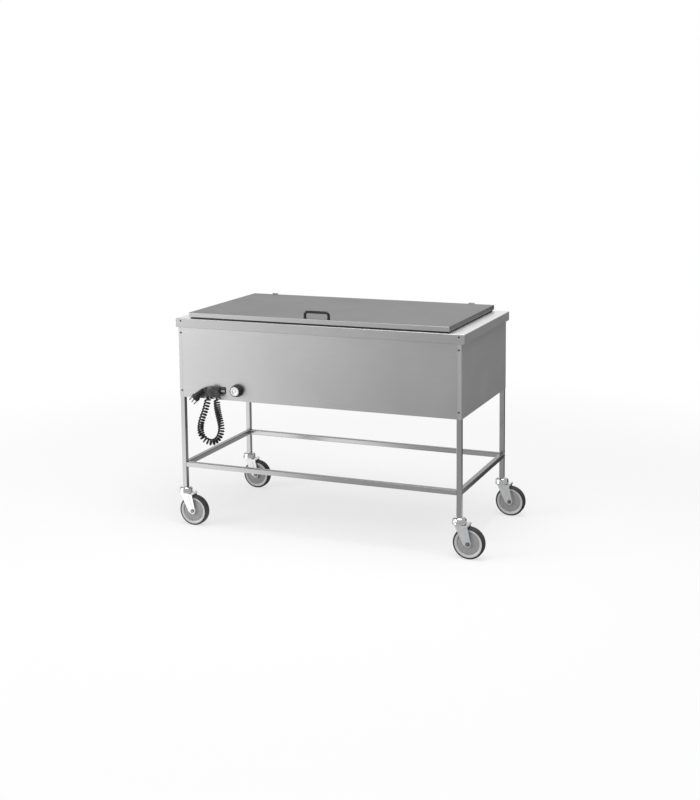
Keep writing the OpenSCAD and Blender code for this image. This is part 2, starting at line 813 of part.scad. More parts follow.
module knob_disc() {
    color([0.9, 0.9, 0.9]) translate([knob_x, front_y - knob_gap, knob_z]) rotate([90, 0, 0])
        translate([0, 0, knob_h - 1.5]) difference() {
            cylinder(d = knob_front_d - 4.2, h = 1.2);
            translate([0, 0, 0.9]) difference() {
                cylinder(d = 16, h = 5);
                cylinder(d = 13, h = 12, center = true);
            }
        }
}

rocker_w = switch_w - 2 * switch_rim - 0.6;
rocker_h = switch_h - 2 * switch_rim - 2;
rocker_y = front_y + 3;

module switch_frame() {
    color(black) translate([switch_x, front_y, switch_z]) difference() {
        union() {
            translate([0, -1, 0]) cube([switch_w, 2, switch_h], center = true);
            translate([0, 11, 0]) cube([switch_w - 2.6, 22 + 2 * eps, switch_h - 2.6], center = true);
            // terminals
            for (x = [-5, 5]) translate([x, 25, 0]) cube([1, 8, 5], center = true);
        }
        translate([0, 2, 0]) cube([switch_w - 2 * switch_rim, 20, switch_h - 2 * switch_rim], center = true);
        translate([0, rocker_y - front_y, 0]) rotate([0, 90, 0])
            cylinder(r = 1 + run_gap, h = switch_w - 2 * switch_rim + 3, center = true);
    }
}

// Rocker on its two pivots, its upper half pressed in
module rocker() {
    color(grey) translate([switch_x, rocker_y, switch_z]) rotate([-rocker_tilt, 0, 0]) {
        rotate([90, 0, 90]) linear_extrude(rocker_w, center = true)
            polygon([[4, -2.5], [4, 2.5], [-1.5, rocker_h / 2], [-3.5 - 3, rocker_h / 2 - 0.3],
                     [-3.5, 0], [-3.5 - 3, -rocker_h / 2 + 0.3], [-1.5, -rocker_h / 2]]);
        rotate([0, 90, 0]) cylinder(r = 1, h = rocker_w + 2.4, center = true);
    }
}

// ---------------------------------------------------------------- cord

module at_holder() {
    translate([holder_x, 0, panel_z]) children();
}

module holder_screw_holes() {
    for (z = holder_screw_z)
        translate([holder_screw_x, front_y, z]) rotate([90, 0, 0])
            cylinder(d = holder_screw_d + 2 * run_gap, h = 10, center = true);
}

// Hood-shaped front of the cord holder
module hood_outline() {
    polygon([[-27.9, 17.9], [-14, 12.7], [-3.4, 14.8], [10.6, 12.2], [22.8, 10.5], [38.2, 10.1], [33.8, 21],
             [30.2, 33.3], [25.5, 43.9], [18.2, 50.4], [7.8, 55.4], [-4.4, 58.6], [-16.8, 54.1], [-24.8, 46.4],
             [-27.7, 33.6]]);
}

// Moulded holder: base on the panel, saddle for the lead and a hood in front
module cord_holder() {
    color(black) at_holder() difference() {
        union() {
            translate([0, front_y, 28]) rotate([90, 0, 0]) linear_extrude(holder_wall) rounded_rect(42, 40, 8);
            // saddle: the upper half of a round block
            translate([saddle[0], front_y, saddle[1]]) rotate([90, 0, 0]) difference() {
                cylinder(r = saddle_r, h = front_y - lip_y);
                translate([-2 * saddle_r, -4 * saddle_r, -1]) cube(4 * saddle_r);
            }
            // boss round the gland
            translate([gland_x - 7, lip_y, gland_z + 8])
                cube([16, front_y - lip_y, saddle[1] - gland_z - 8 + eps]);
            translate([0, lip_y + eps, 0]) rotate([90, 0, 0]) linear_extrude(holder_wall + eps) hood_outline();
            // arm that carries the parked plug
            translate([0, front_y, 22.5]) rotate([90, 0, 0]) {
                translate([arm_end, 0, 0]) cylinder(r = 8.5, h = arm_h);
                translate([arm_end, -8.5, 0]) cube([gland_x - arm_end, 17, arm_h]);
            }
        }
        // way of the fixed lead from the panel down into the gland
        translate([gland_x, front_y + 5, saddle[1]]) rotate([90, 0, 0])
            cylinder(d = cord_d + 1, h = front_y + 5 - cord_y);
        translate([gland_x, cord_y, gland_z + 5])
            cylinder(d = gland_d + 2 * run_gap, h = saddle[1] - gland_z - 5);
        holder_screw_holes();
    }
}

module holder_screws() {
    color(dark_steel) at_holder()
        for (z = holder_screw_z)
            translate([holder_screw_x, front_y - holder_wall, z]) rotate([90, 0, 0])
                dome_screw(holder_screw_d, 2 * holder_screw_d, 2, holder_wall + sheet + 4);
}

// Tapered bend relief under the holder
module cord_gland() {
    skirt_h = 8 - touch;
    color(black) at_holder() translate([gland_x, cord_y, gland_z]) difference() {
        union() {
            cylinder(d1 = cord_d + 3, d2 = 13, h = skirt_h, $fn = 96);
            cylinder(d = gland_d, h = gland_h);
        }
        translate([0, 0, 3]) cylinder(d = cord_d - 2, h = gland_h);
    }
}

// Middle line of the lead, from the gland down, round the loop, up over the
// saddle and on to the plug
route_points = [
    [gland_x, 0, gland_z], [-27, 0, -1.5], [-29, 0, -11], [-34, 0, -28], [-43, 0, -54], [-55, 0, -84],
    [-62, 0, -112], [-62, 0, -138], [-52, 0, -160], [-33, 0, -173], [-10, 0, -176], [11, 0, -165],
    [26, 0, -144], [32, 0, -118], [29, 0, -90], [22, 0, -62], [16, 0, -32], [13.8, 0, -2], [13.8, 0, 20],
    [10.5, 0, 35.4], [1.4, 0, 44.5], [-11, 0, 47.8], [-22, 0, 48.2], [-33, 0, 47.2], [-41.5, 0, 44.8],
    [-47.2, -0.5, 40.5]];
route = [for (p = route_points) p + [holder_x, cord_y, panel_z]];
plug_rear = route[len(route) - 1];
// Pitch of the curls at each of those points: open at the top left, close down
// the left side, fanned round the bottom, close up the right side
pitches = [for (p = [12.9, 12.9, 12.9, 12.9, 12.9, 12.5, 9, 9.4, 13.5, 13.8, 13.8, 13.2, 12.3, 11.2, 9.5, 8.2, 8.2,
                     11, 9, 9, 9, 9, 9, 9, 9, 9]) max(curl_tight, p)];
curl_from = 0.6;      // where along the route the curls start and end, counted in points
curl_to = 17.3;
curl_fade = 0.45;     // stretch over which a curl grows to its full size
steps = 12;           // samples between two points of the route
rings_per_curl = 8;
tube_sides = 6;

function clamp_index(i) = min(max(i, 0), len(route) - 1);
function spline(a, b, c, d, t) =
    0.5 * (2 * b + (c - a) * t + (2 * a - 5 * b + 4 * c - d) * t * t + (3 * b - a - 3 * c + d) * t * t * t);
function along(values, u) =
    let (i = floor(min(u, len(route) - 1.0001)), t = u - i)
        spline(values[clamp_index(i - 1)], values[i], values[i + 1], values[clamp_index(i + 2)], t);
function unit(v) = v / norm(v);
function heading(u) = unit(along(route, min(u + 0.02, len(route) - 1.0001)) - along(route, max(u - 0.02, 0)));

// Turns made up to each sample, in degrees
samples = (len(route) - 1) * steps;
turn_at = [
    for (i = 0, a = 0; i <= samples;
         a = a + 360 * norm(along(route, (i + 1) / steps) - along(route, i / steps))
                 / max(curl_tight, min(curl_open, along(pitches, (i + 0.5) / steps))),
         i = i + 1)
        [a, i / steps]];
place_at = [for (p = turn_at) [p[1], p[0]]];
first_turn = lookup(curl_from, place_at);
last_turn = lookup(curl_to, place_at);
curls = round((last_turn - first_turn) / 360);
ring_count = curls * rings_per_curl;
curl_r = (curl_d - cord_d) / 2;

function ramp(t) = let (x = min(max(t, 0), 1)) x * x * (3 - 2 * x);
function swell(u) = curl_r * ramp((u - curl_from) / curl_fade) * ramp((curl_to - u) / curl_fade);
function held(u) = min(max(u, curl_from), curl_to);
function outward(u) =
    let (t = heading(u), n = unit(cross([0, 1, 0], t)), b = cross(t, n), a = lookup(held(u), place_at))
        n * cos(a) - b * sin(a);
function core(u) = along(route, u) + swell(u) * outward(u);

ring_places = concat(
    [0, curl_from / 2, curl_from - 0.05],
    [for (k = [0 : ring_count]) lookup(first_turn + k * (last_turn - first_turn) / ring_count, turn_at)],
    [for (u = [curl_to + 0.3 : 0.4 : len(route) - 1.3]) u],
    [len(route) - 1.0001]);
cores = [for (u = ring_places) core(u)];
last_ring = len(cores) - 1;
// Every ring stands square to the line through its neighbours
function ring(i) =
    let (t = i == 0 ? heading(0) : i == last_ring ? heading(len(route) - 1) : unit(cores[i + 1] - cores[i - 1]),
         e = outward(ring_places[i]), n = unit(e - (e * t) * t), b = cross(t, n))
        [for (k = [0 : tube_sides - 1])
            cores[i] + cord_r * (n * cos(360 * k / tube_sides) + b * sin(360 * k / tube_sides))];

tube_points = [for (i = [0 : last_ring]) each ring(i)];
function wrap(k) = k % tube_sides;
tube_faces = concat(
    [for (k = [1 : tube_sides - 2]) [0, k, k + 1]],
    [for (k = [1 : tube_sides - 2]) [last_ring, last_ring, last_ring] * tube_sides + [0, k + 1, k]],
    [for (i = [0 : last_ring - 1]) for (k = [0 : tube_sides - 1]) each
        [[i * tube_sides + k, (i + 1) * tube_sides + k, (i + 1) * tube_sides + wrap(k + 1)],
         [i * tube_sides + k, (i + 1) * tube_sides + wrap(k + 1), i * tube_sides + wrap(k + 1)]]]);

// Least gap between one turn and any other, from middle to middle less the
// cord, and the length of the lead
cord_gap = min([
    for (i = [0 : last_ring])
        for (j = [i + 5 : last_ring]) norm(cores[i] - cores[j]) - cord_d]);
cord_length = [for (i = 0, s = 0; i <= last_ring; s = s + (i < last_ring ? norm(cores[i + 1] - cores[i]) : 0), i = i + 1) s][last_ring];
echo(curls = curls, cord_gap = cord_gap, cord_length = cord_length);

module curly_cord() {
    color(black) polyhedron(tube_points, tube_faces, convexity = 20);
}

// Puts Z along the plug's axis, from the rear of its grip, and X along its pins
module along_plug() {
    d = unit(plug_dir);
    tilt = acos(d[2]);
    turn = atan2(d[1], d[0]);
    across = [cos(tilt) * cos(turn), cos(tilt) * sin(turn), -sin(tilt)];
    spin = atan2(pin_row * [-sin(turn), cos(turn), 0], pin_row * across);
    translate(plug_rear) rotate([0, tilt, turn]) rotate([0, 0, spin]) children();
}

// Round plug: a ribbed grip that tapers to the lead, and a flat head
module plug_body() {
    head = 14;
    color(black) along_plug() {
        translate([0, 0, touch]) cylinder(d1 = cord_d + 5, d2 = plug_d - 9, h = plug_l - head - touch + eps, $fn = 96);
        for (i = [0 : 3])
            translate([0, 0, 5 + i * 7]) cylinder(d = cord_d + 9 + i * 2.8, h = 3);
        translate([0, 0, plug_l - head]) rotate_extrude() difference() {
            union() {
                square([plug_d / 2 - 2, head]);
                translate([0, 2]) square([plug_d / 2, head - 4]);
                for (y = [2, head - 2]) translate([plug_d / 2 - 2, y]) circle(2);
            }
            translate([-2 * plug_d, -1]) square(2 * plug_d);
        }
    }
}

// Three round pins in a row
module plug_pins() {
    color(zinc) along_plug() for (s = [-1 : 1])
        translate([s * pin_pitch, 0, plug_l]) {
            cylinder(d = pin_d, h = pin_l - pin_d / 2);
            translate([0, 0, pin_l - pin_d / 2]) sphere(d = pin_d);
        }
}

// ---------------------------------------------------------------- assembly

for (c = corners) {
    translate(shift) leg(c);
    translate(shift) castor_housing(c);
    translate(shift) castor_fork(c);
    translate(shift) castor_axle(c);
    translate(shift) castor_hub(c);
    translate(shift) castor_tyre(c);
}
translate(shift) rail_long(-1);  // rail_front
translate(shift) rail_long(1);  // rail_back
translate(shift) rail_short(-1);  // rail_left
translate(shift) rail_short(1);  // rail_right
translate(shift) rail_bolts();
translate(shift) front_panel();
translate(shift) back_panel();
translate(shift) side_panel(-1);  // side_panel_left
translate(shift) side_panel(1);  // side_panel_right
translate(shift) bottom_cover();
translate(shift) panel_screws();
translate(shift) deck();
translate(shift) well();
translate(shift) heating_element();
translate(shift) element_clamps();
translate(shift) lid_skin();
translate(shift) lid_filling();
translate(shift) lid_liner();
translate(shift) lid_seal();
translate(shift) handle();
translate(shift) handle_screws();
translate(shift) hinge_lid_leaves();
translate(shift) hinge_deck_leaves();
translate(shift) hinge_pins();
translate(shift) thermostat();
translate(shift) spindle();
translate(shift) knob();
translate(shift) knob_disc();
translate(shift) switch_frame();
translate(shift) rocker();
translate(shift) cord_holder();
translate(shift) holder_screws();
translate(shift) cord_gland();
translate(shift) curly_cord();
translate(shift) plug_body();
translate(shift) plug_pins();
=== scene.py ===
"""Heated serving trolley: a stainless body with a hinged lid on four legs with
castors, a thermostat knob, a rocker switch and a curly mains lead."""
import math

import bmesh
import bpy
from mathutils import Matrix, Vector


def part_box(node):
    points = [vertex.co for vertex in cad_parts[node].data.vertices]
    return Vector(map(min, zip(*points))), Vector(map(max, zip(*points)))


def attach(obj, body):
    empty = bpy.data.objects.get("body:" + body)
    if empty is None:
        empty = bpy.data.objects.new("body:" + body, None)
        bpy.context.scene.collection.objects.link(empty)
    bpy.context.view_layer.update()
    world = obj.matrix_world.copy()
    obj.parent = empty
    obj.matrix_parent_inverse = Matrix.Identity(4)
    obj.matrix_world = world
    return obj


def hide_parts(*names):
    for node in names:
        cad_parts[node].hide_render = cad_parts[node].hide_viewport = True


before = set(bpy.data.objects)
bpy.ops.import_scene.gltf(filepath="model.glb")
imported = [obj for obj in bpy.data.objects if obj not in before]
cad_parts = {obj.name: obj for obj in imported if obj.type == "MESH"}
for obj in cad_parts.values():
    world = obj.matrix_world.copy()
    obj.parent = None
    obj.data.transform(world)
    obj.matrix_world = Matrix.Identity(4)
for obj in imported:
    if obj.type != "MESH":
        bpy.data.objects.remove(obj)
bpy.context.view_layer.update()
bpy.context.scene.view_settings.view_transform = "Standard"

# ------------------------------------------------------------------ camera
# Eye height about 1.7 m, five metres in front of the trolley and to its right.
# The shift keeps the uprights nearly parallel, as the photographer's lens did.
PHOTO_LONG_SIDE = 800
FOCAL_PIXELS = 1321.8
SENSOR_WIDTH = 36
LENS_SHIFT = -0.15
CAMERA_PLACE = (2.0452, -4.9450, 1.7028)
YAW, PITCH, ROLL = (math.radians(a) for a in (22.504, 7.367, -0.548))

camera_data = bpy.data.cameras.new("photo_camera")
camera = bpy.data.objects.new("photo_camera", camera_data)
bpy.context.collection.objects.link(camera)
bpy.context.scene.camera = camera
camera_data.sensor_width = SENSOR_WIDTH
camera_data.lens = FOCAL_PIXELS * SENSOR_WIDTH / PHOTO_LONG_SIDE
camera_data.shift_y = LENS_SHIFT
camera.matrix_world = (
    Matrix.Translation(CAMERA_PLACE)
    @ Matrix.Rotation(YAW, 4, "Z")
    @ Matrix.Rotation(math.pi / 2 - PITCH, 4, "X")
    @ Matrix.Rotation(ROLL, 4, "Z")
)

# -------------------------------------------------------------- curly lead
# Black PVC mains lead, 7 mm thick, wound into curls on a mandrel and set with
# heat. It leaves the holder downwards, hangs in a loop and comes back up over
# the holder's saddle to its plug.
HOLDER = Vector((-0.477, -0.31185, 0.540))
LEAD_RADIUS = 0.0035
CURL_RADIUS = 0.0105
CURL_TIGHT, CURL_OPEN = 0.0079, 0.014
CURLS = 38
POINTS_PER_CURL = 16
ROUTE = [
    HOLDER + Vector(p) / 1000
    for p in (
        (-27, 0, 6), (-27, 0, -1.5), (-29, 0, -11), (-34, 0, -28), (-43, 0, -54),
        (-55, 0, -84), (-62, 0, -112), (-62, 0, -138), (-52, 0, -160), (-33, 0, -173),
        (-10, 0, -176), (11, 0, -165), (26, 0, -144), (32, 0, -118), (29, 0, -90),
        (22, 0, -62), (16, 0, -32), (13.8, 0, -2), (13.8, 0, 20), (10.5, 0, 35.4),
        (1.4, 0, 44.5), (-11, 0, 47.8), (-22, 0, 48.2), (-33, 0, 47.2), (-41.5, 0, 44.8),
        (-47.2, -0.5, 40.5),
    )
]
# Distance from one curl to the next at each point of the route
PITCHES = (
    [0.0129] * 5
    + [0.0125, 0.009, 0.0094, 0.0135, 0.0138, 0.0138, 0.0132, 0.0123, 0.0112, 0.0095]
    + [0.0082, 0.0082, 0.011]
    + [0.009] * 8
)
# Places on the route are counted in its points: 2.5 is halfway from 2 to 3
ROUTE_END = len(ROUTE) - 1.0001
CURLS_FROM, CURLS_TO, CURL_FADE = 0.6, 17.3, 0.45
STRAIGHT_START = [0, 0.2, 0.4, 0.55]
STRAIGHT_END, STRAIGHT_STEP = len(ROUTE) - 1.15, 0.125
STEPS_PER_POINT = 12
HEADING_REACH = 0.02


def between(values, u):
    """Smooth curve through the values, at u counted in values."""
    i = int(min(u, ROUTE_END))
    t = u - i
    last = len(values) - 1
    a, b, c, d = (values[min(max(k, 0), last)] for k in (i - 1, i, i + 1, i + 2))
    return 0.5 * (
        2 * b + (c - a) * t + (2 * a - 5 * b + 4 * c - d) * t * t + (3 * b - a - 3 * c + d) * t**3)


def heading(u):
    """Direction of the route at u."""
    ahead = between(ROUTE, min(u + HEADING_REACH, ROUTE_END))
    behind = between(ROUTE, max(u - HEADING_REACH, 0))
    return (ahead - behind).normalized()


turns = [0.0]
for step in range((len(ROUTE) - 1) * STEPS_PER_POINT):
    start, middle, end = ((step + part) / STEPS_PER_POINT for part in (0, 0.5, 1))
    run = (between(ROUTE, end) - between(ROUTE, start)).length
    pitch = max(CURL_TIGHT, min(CURL_OPEN, between(PITCHES, middle)))
    turns.append(turns[-1] + 2 * math.pi * run / pitch)


def turn_at(u):
    """Angle through which the curls have turned at u."""
    k = min(int(u * STEPS_PER_POINT), len(turns) - 2)
    return turns[k] + (turns[k + 1] - turns[k]) * (u * STEPS_PER_POINT - k)


def place_of(turn):
    """Place on the route where the curls have turned so far."""
    k = max(i for i, t in enumerate(turns[:-1]) if t <= turn)
    return (k + (turn - turns[k]) / (turns[k + 1] - turns[k])) / STEPS_PER_POINT


def ramp(t):
    t = min(max(t, 0), 1)
    return t * t * (3 - 2 * t)


def lead_middle(u):
    """Middle of the lead: the route plus the curl round it."""
    along = heading(u)
    across = Vector((0, 1, 0)).cross(along).normalized()
    turn = turn_at(min(max(u, CURLS_FROM), CURLS_TO))
    swell = CURL_RADIUS * ramp((u - CURLS_FROM) / CURL_FADE) * ramp((CURLS_TO - u) / CURL_FADE)
    out = across * math.cos(turn) - along.cross(across) * math.sin(turn)
    return between(ROUTE, u) + swell * out


first_turn, last_turn = turn_at(CURLS_FROM), turn_at(CURLS_TO)
curl_points = CURLS * POINTS_PER_CURL
lead_places = list(STRAIGHT_START)
for k in range(curl_points + 1):
    lead_places.append(place_of(first_turn + k * (last_turn - first_turn) / curl_points))
while lead_places[-1] < STRAIGHT_END:
    lead_places.append(lead_places[-1] + STRAIGHT_STEP)
lead_places.append(ROUTE_END)

lead_curve = bpy.data.curves.new("curly_lead", "CURVE")
lead_curve.dimensions = "3D"
lead_curve.bevel_depth = LEAD_RADIUS
lead_curve.bevel_resolution = 4
lead_curve.use_fill_caps = True
lead_spline = lead_curve.splines.new("POLY")
lead_spline.points.add(len(lead_places) - 1)
for point, u in zip(lead_spline.points, lead_places):
    point.co = (*lead_middle(u), 1)
lead_spline.use_smooth = True
curly_lead = bpy.data.objects.new("curly_lead", lead_curve)
bpy.context.collection.objects.link(curly_lead)


def shader_group(name, inputs, outputs):
    """Node group with these inputs and outputs: the group, what its inputs give, its output."""
    group = bpy.data.node_groups.new(name, "ShaderNodeTree")
    for title, kind, value in inputs:
        socket = group.interface.new_socket(
            title, in_out="INPUT", socket_type="NodeSocket" + kind)
        socket.default_value = value
    for title, kind in outputs:
        group.interface.new_socket(title, in_out="OUTPUT", socket_type="NodeSocket" + kind)
    return group, group.nodes.new("NodeGroupInput").outputs, group.nodes.new("NodeGroupOutput")


def feed(tree, node, inputs):
    """Gives each input its value, or links it where the value is a socket."""
    for title, value in inputs.items():
        if isinstance(value, bpy.types.NodeSocket):
            tree.links.new(value, node.inputs[title])
        else:
            node.inputs[title].default_value = value


def add_node(tree, kind, inputs=(), **settings):
    """New node with its settings made and its inputs fed."""
    node = tree.nodes.new("ShaderNode" + kind)
    for setting, value in settings.items():
        setattr(node, setting, value)
    feed(tree, node, dict(inputs))
    return node


def result(tree, operation, *terms, **settings):
    """What a Math node makes of its terms."""
    inputs = dict(enumerate(terms))
    return add_node(tree, "Math", inputs, operation=operation, **settings).outputs["Value"]


def mixed(tree, share, first, second):
    """Colour between the first and the second, by the share of the second."""
    inputs = {"Factor": share, "A": first, "B": second}
    return add_node(tree, "Mix", inputs, data_type="RGBA").outputs["Result"]


# Moulded or extruded skin: a fine pebble, and dust that has settled unevenly
moulded_skin, skin, skin_out = shader_group(
    "moulded_skin",
    [("Colour", "Color", (0, 0, 0, 1)), ("Dusty", "Color", (0.2, 0.2, 0.2, 1)),
     ("Dust", "Float", 0.3), ("Pebble size", "Float", 900.0), ("Gloss", "Float", 0.4)],
    [("Colour", "Color"), ("Roughness", "Float"), ("Height", "Float")],
)
place = add_node(moulded_skin, "TexCoord").outputs["Object"]
pebble = add_node(
    moulded_skin, "TexNoise", {"Vector": place, "Scale": skin["Pebble size"], "Detail": 3})
clouds = add_node(
    moulded_skin, "TexNoise", {"Vector": place, "Scale": 38, "Detail": 6, "Roughness": 0.65})
settled = add_node(
    moulded_skin, "MapRange",
    {"Value": clouds.outputs["Fac"], "From Min": 0.42, "From Max": 0.72})
dust = result(moulded_skin, "MULTIPLY", settled.outputs["Result"], skin["Dust"])
feed(moulded_skin, skin_out, {
    "Colour": mixed(moulded_skin, dust, skin["Colour"], skin["Dusty"]),
    "Roughness": result(moulded_skin, "MULTIPLY_ADD", dust, 0.35, skin["Gloss"]),
    "Height": pebble.outputs["Fac"],
})


def patterned_finish(name, metallic, pattern, inputs, bump, bump_depth):
    """Material whose colour, roughness and relief come from a pattern group."""
    finish = bpy.data.materials.new(name)
    finish.use_nodes = True
    tree = finish.node_tree
    pattern_node = add_node(tree, "Group", inputs, node_tree=pattern)
    relief = add_node(tree, "Bump", {
        "Strength": bump, "Distance": bump_depth, "Height": pattern_node.outputs["Height"]})
    feed(tree, tree.nodes["Principled BSDF"], {
        "Metallic": metallic,
        "Base Color": pattern_node.outputs["Colour"],
        "Roughness": pattern_node.outputs["Roughness"],
        "Normal": relief.outputs["Normal"],
    })
    return finish, pattern_node


def grey(value, warm=0.0):
    return (value * (1 + warm), value, value * (1 - warm), 1)


def plastic_finish(name, colour, dusty, dust=0.3, gloss=0.4, pebble=900, bump=0.2):
    """Moulded plastic or rubber."""
    inputs = {
        "Colour": colour, "Dusty": dusty, "Dust": dust, "Pebble size": pebble, "Gloss": gloss}
    return patterned_finish(name, 0, moulded_skin, inputs, bump, 0.0001)[0]


def put_on(piece, finish):
    """Gives the whole piece one finish."""
    piece.data.materials.clear()
    piece.data.materials.append(finish)


def dress(piece, finish, body, slot, *nodes):
    """Finishes a new piece, which rides on the body and stands for these CAD nodes."""
    put_on(piece, finish)
    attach(piece, body)
    if nodes:
        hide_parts(*nodes)


lead_pvc = plastic_finish(
    "lead_pvc", grey(0.006), grey(0.014), dust=0.3, gloss=0.42, pebble=1400, bump=0.12)
dress(curly_lead, lead_pvc, "frame", "cord_rubber", "curly_cord")

# ------------------------------------------------------------ bend relief
# Soft black sleeve moulded on the lead where it enters the holder. It tapers
# downwards and is ringed so that it bends evenly.
DOUBLES = 0.00001  # points nearer than this are one point


def deselect_all():
    for item in bpy.context.selected_objects:
        item.select_set(False)


def take(piece):
    """Makes one object the only selected and active one."""
    deselect_all()
    piece.select_set(True)
    bpy.context.view_layer.objects.active = piece


def open_up(piece):
    """Opens the piece in edit mode, selected all over."""
    take(piece)
    bpy.ops.object.mode_set(mode="EDIT")
    bpy.ops.mesh.select_all(action="SELECT")


def close():
    bpy.ops.object.mode_set(mode="OBJECT")


def merge_doubles():
    bpy.ops.mesh.select_all(action="SELECT")
    bpy.ops.mesh.remove_doubles(threshold=DOUBLES)


def face_outwards():
    bpy.ops.mesh.select_all(action="SELECT")
    bpy.ops.mesh.normals_make_consistent(inside=False)


def smooth(piece, degrees=32):
    take(piece)
    bpy.ops.object.shade_smooth_by_angle(angle=math.radians(degrees))


def turned(name, profile, sides=48, place=Matrix.Identity(4)):
    """Piece spun round Z from (radius, height) in millimetres, then put in place."""
    mesh = bpy.data.meshes.new(name)
    points = [(radius / 1000, 0, height / 1000) for radius, height in profile]
    mesh.from_pydata(points, [(i, i + 1) for i in range(len(points) - 1)], [])
    piece = bpy.data.objects.new(name, mesh)
    bpy.context.collection.objects.link(piece)
    open_up(piece)
    bpy.ops.mesh.spin(steps=sides, angle=2 * math.pi, center=(0, 0, 0), axis=(0, 0, 1))
    merge_doubles()
    face_outwards()
    close()
    piece.data.transform(place)
    smooth(piece)
    return piece


relief_profile = [(3.55, -7.5), (4.6, -7.5), (4.9, -7.1)]
for ring in range(4):
    foot = -6 + ring * 3.1
    size = 5.0 + ring * 0.33
    relief_profile += [
        (size, foot), (size + 0.45, foot + 0.4), (size + 0.45, foot + 1.7),
        (size - 0.1, foot + 2.1)]
relief_profile += [
    (6.3, 7.0), (5.9, 7.6), (5.0, 7.6), (5.0, 15.5), (3.55, 15.5), (3.55, -7.5)]
bend_relief = turned(
    "bend_relief", relief_profile, sides=40, place=Matrix.Translation(ROUTE[0]))
relief_pvc = plastic_finish(
    "relief_pvc", grey(0.006), grey(0.014), dust=0.3, gloss=0.45, pebble=1200)
dress(bend_relief, relief_pvc, "frame", "cord_rubber", "cord_gland")

# -------------------------------------------------------------------- plug
# Round plug moulded onto the lead's end: a ringed grip and a flat head with
# three metal pins in a row. It is parked on the holder's arm.
PLUG_REAR = ROUTE[-1]
plug_along = Vector((-0.63, -0.25, -0.735)).normalized()
plug_row = Vector((0.76, 0.02, -0.65))
plug_row = (plug_row - plug_row.dot(plug_along) * plug_along).normalized()
plug_side = plug_along.cross(plug_row)
plug_place = Matrix((
    (plug_row.x, plug_side.x, plug_along.x, PLUG_REAR.x),
    (plug_row.y, plug_side.y, plug_along.y, PLUG_REAR.y),
    (plug_row.z, plug_side.z, plug_along.z, PLUG_REAR.z),
    (0, 0, 0, 1),
))
plug_profile = [(0, 0.3), (5.6, 0.3), (6.0, 0.8)]
for ring in range(5):
    foot = 2.6 + ring * 6.6
    size = 7.0 + ring * 1.5
    plug_profile += [
        (size - 0.6, foot), (size + 1.0, foot + 0.6), (size + 1.3, foot + 3.3),
        (size + 0.1, foot + 4.0)]
plug_profile += [
    (13.2, 36.2), (14.2, 37.4), (16.6, 38.0), (17.6, 39.0), (18.0, 40.6), (18.0, 49.6),
    (17.5, 51.2), (16.2, 52.0), (14.2, 52.0), (13.6, 51.4), (0, 51.4)]
plug_body = turned("plug_moulding", plug_profile, place=plug_place)
plug_pvc = plastic_finish(
    "plug_pvc", grey(0.014), grey(0.05), dust=0.35, gloss=0.40, pebble=1000)
dress(plug_body, plug_pvc, "frame", "cord_rubber", "plug_body")

# Worked metal: lines left by the abrasive belt, smudges of use, and a slight
# unevenness of colour; the grain runs along the axis with the smallest scale
worked_metal, metal, metal_out = shader_group(
    "worked_metal",
    [("Colour", "Color", (0.6, 0.6, 0.6, 1)), ("Grain", "Vector", (20, 900, 900)),
     ("Contrast", "Float", 0.1), ("Roughness", "Float", 0.35), ("Smudge", "Float", 0.1)],
    [("Colour", "Color"), ("Roughness", "Float"), ("Height", "Float")],
)
place = add_node(worked_metal, "TexCoord").outputs["Object"]
stretched = add_node(
    worked_metal, "VectorMath", {0: place, 1: metal["Grain"]}, operation="MULTIPLY")
lines = add_node(
    worked_metal, "TexNoise",
    {"Vector": stretched.outputs[0], "Scale": 1, "Detail": 5, "Roughness": 0.7}).outputs["Fac"]
hands = add_node(
    worked_metal, "TexNoise",
    {"Vector": place, "Scale": 4.5, "Detail": 5, "Distortion": 0.4}).outputs["Fac"]
line_level = result(worked_metal, "MULTIPLY_ADD", lines, 2, -1)
hand_level = result(worked_metal, "MULTIPLY_ADD", hands, 2, -1)
shade = result(worked_metal, "MULTIPLY_ADD", line_level, metal["Contrast"], 1)
shaded = add_node(
    worked_metal, "VectorMath", {0: metal["Colour"], "Scale": shade}, operation="SCALE")
hand_rough = result(
    worked_metal, "MULTIPLY_ADD", hand_level, metal["Smudge"], metal["Roughness"])
feed(worked_metal, metal_out, {
    "Colour": shaded.outputs[0],
    "Roughness": result(worked_metal, "MULTIPLY_ADD", line_level, 0.08, hand_rough),
    "Height": lines,
})


def eased(tree, value, low, high, start=0.0, end=1.0):
    """Goes smoothly from start to end as the value goes from low to high."""
    inputs = {
        "Value": value, "From Min": low, "From Max": high, "To Min": start, "To Max": end}
    ease = add_node(tree, "MapRange", inputs, interpolation_type="SMOOTHSTEP")
    return ease.outputs["Result"]


# Painted light: the tops and the ends (faces along X) take other tones, painted to stand for the
# light and shade that fall on them
painted_facing_light, tones, tones_out = shader_group(
    "painted_facing_light",
    [(title, "Color", (0.6, 0.6, 0.6, 1)) for title in ("Colour", "Painted top", "Painted ends")],
    [("Colour", "Color")],
)
looks = add_node(painted_facing_light, "TexCoord").outputs["Normal"]
looks = add_node(painted_facing_light, "SeparateXYZ", {0: looks}).outputs
painted_tone = tones["Colour"]
for axis, other in (("Z", "Painted top"), ("X", "Painted ends")):
    share = eased(painted_facing_light, result(painted_facing_light, "ABSOLUTE", looks[axis]), 0.5, 0.95)
    painted_tone = mixed(painted_facing_light, share, painted_tone, tones[other])
feed(painted_facing_light, tones_out, {"Colour": painted_tone})


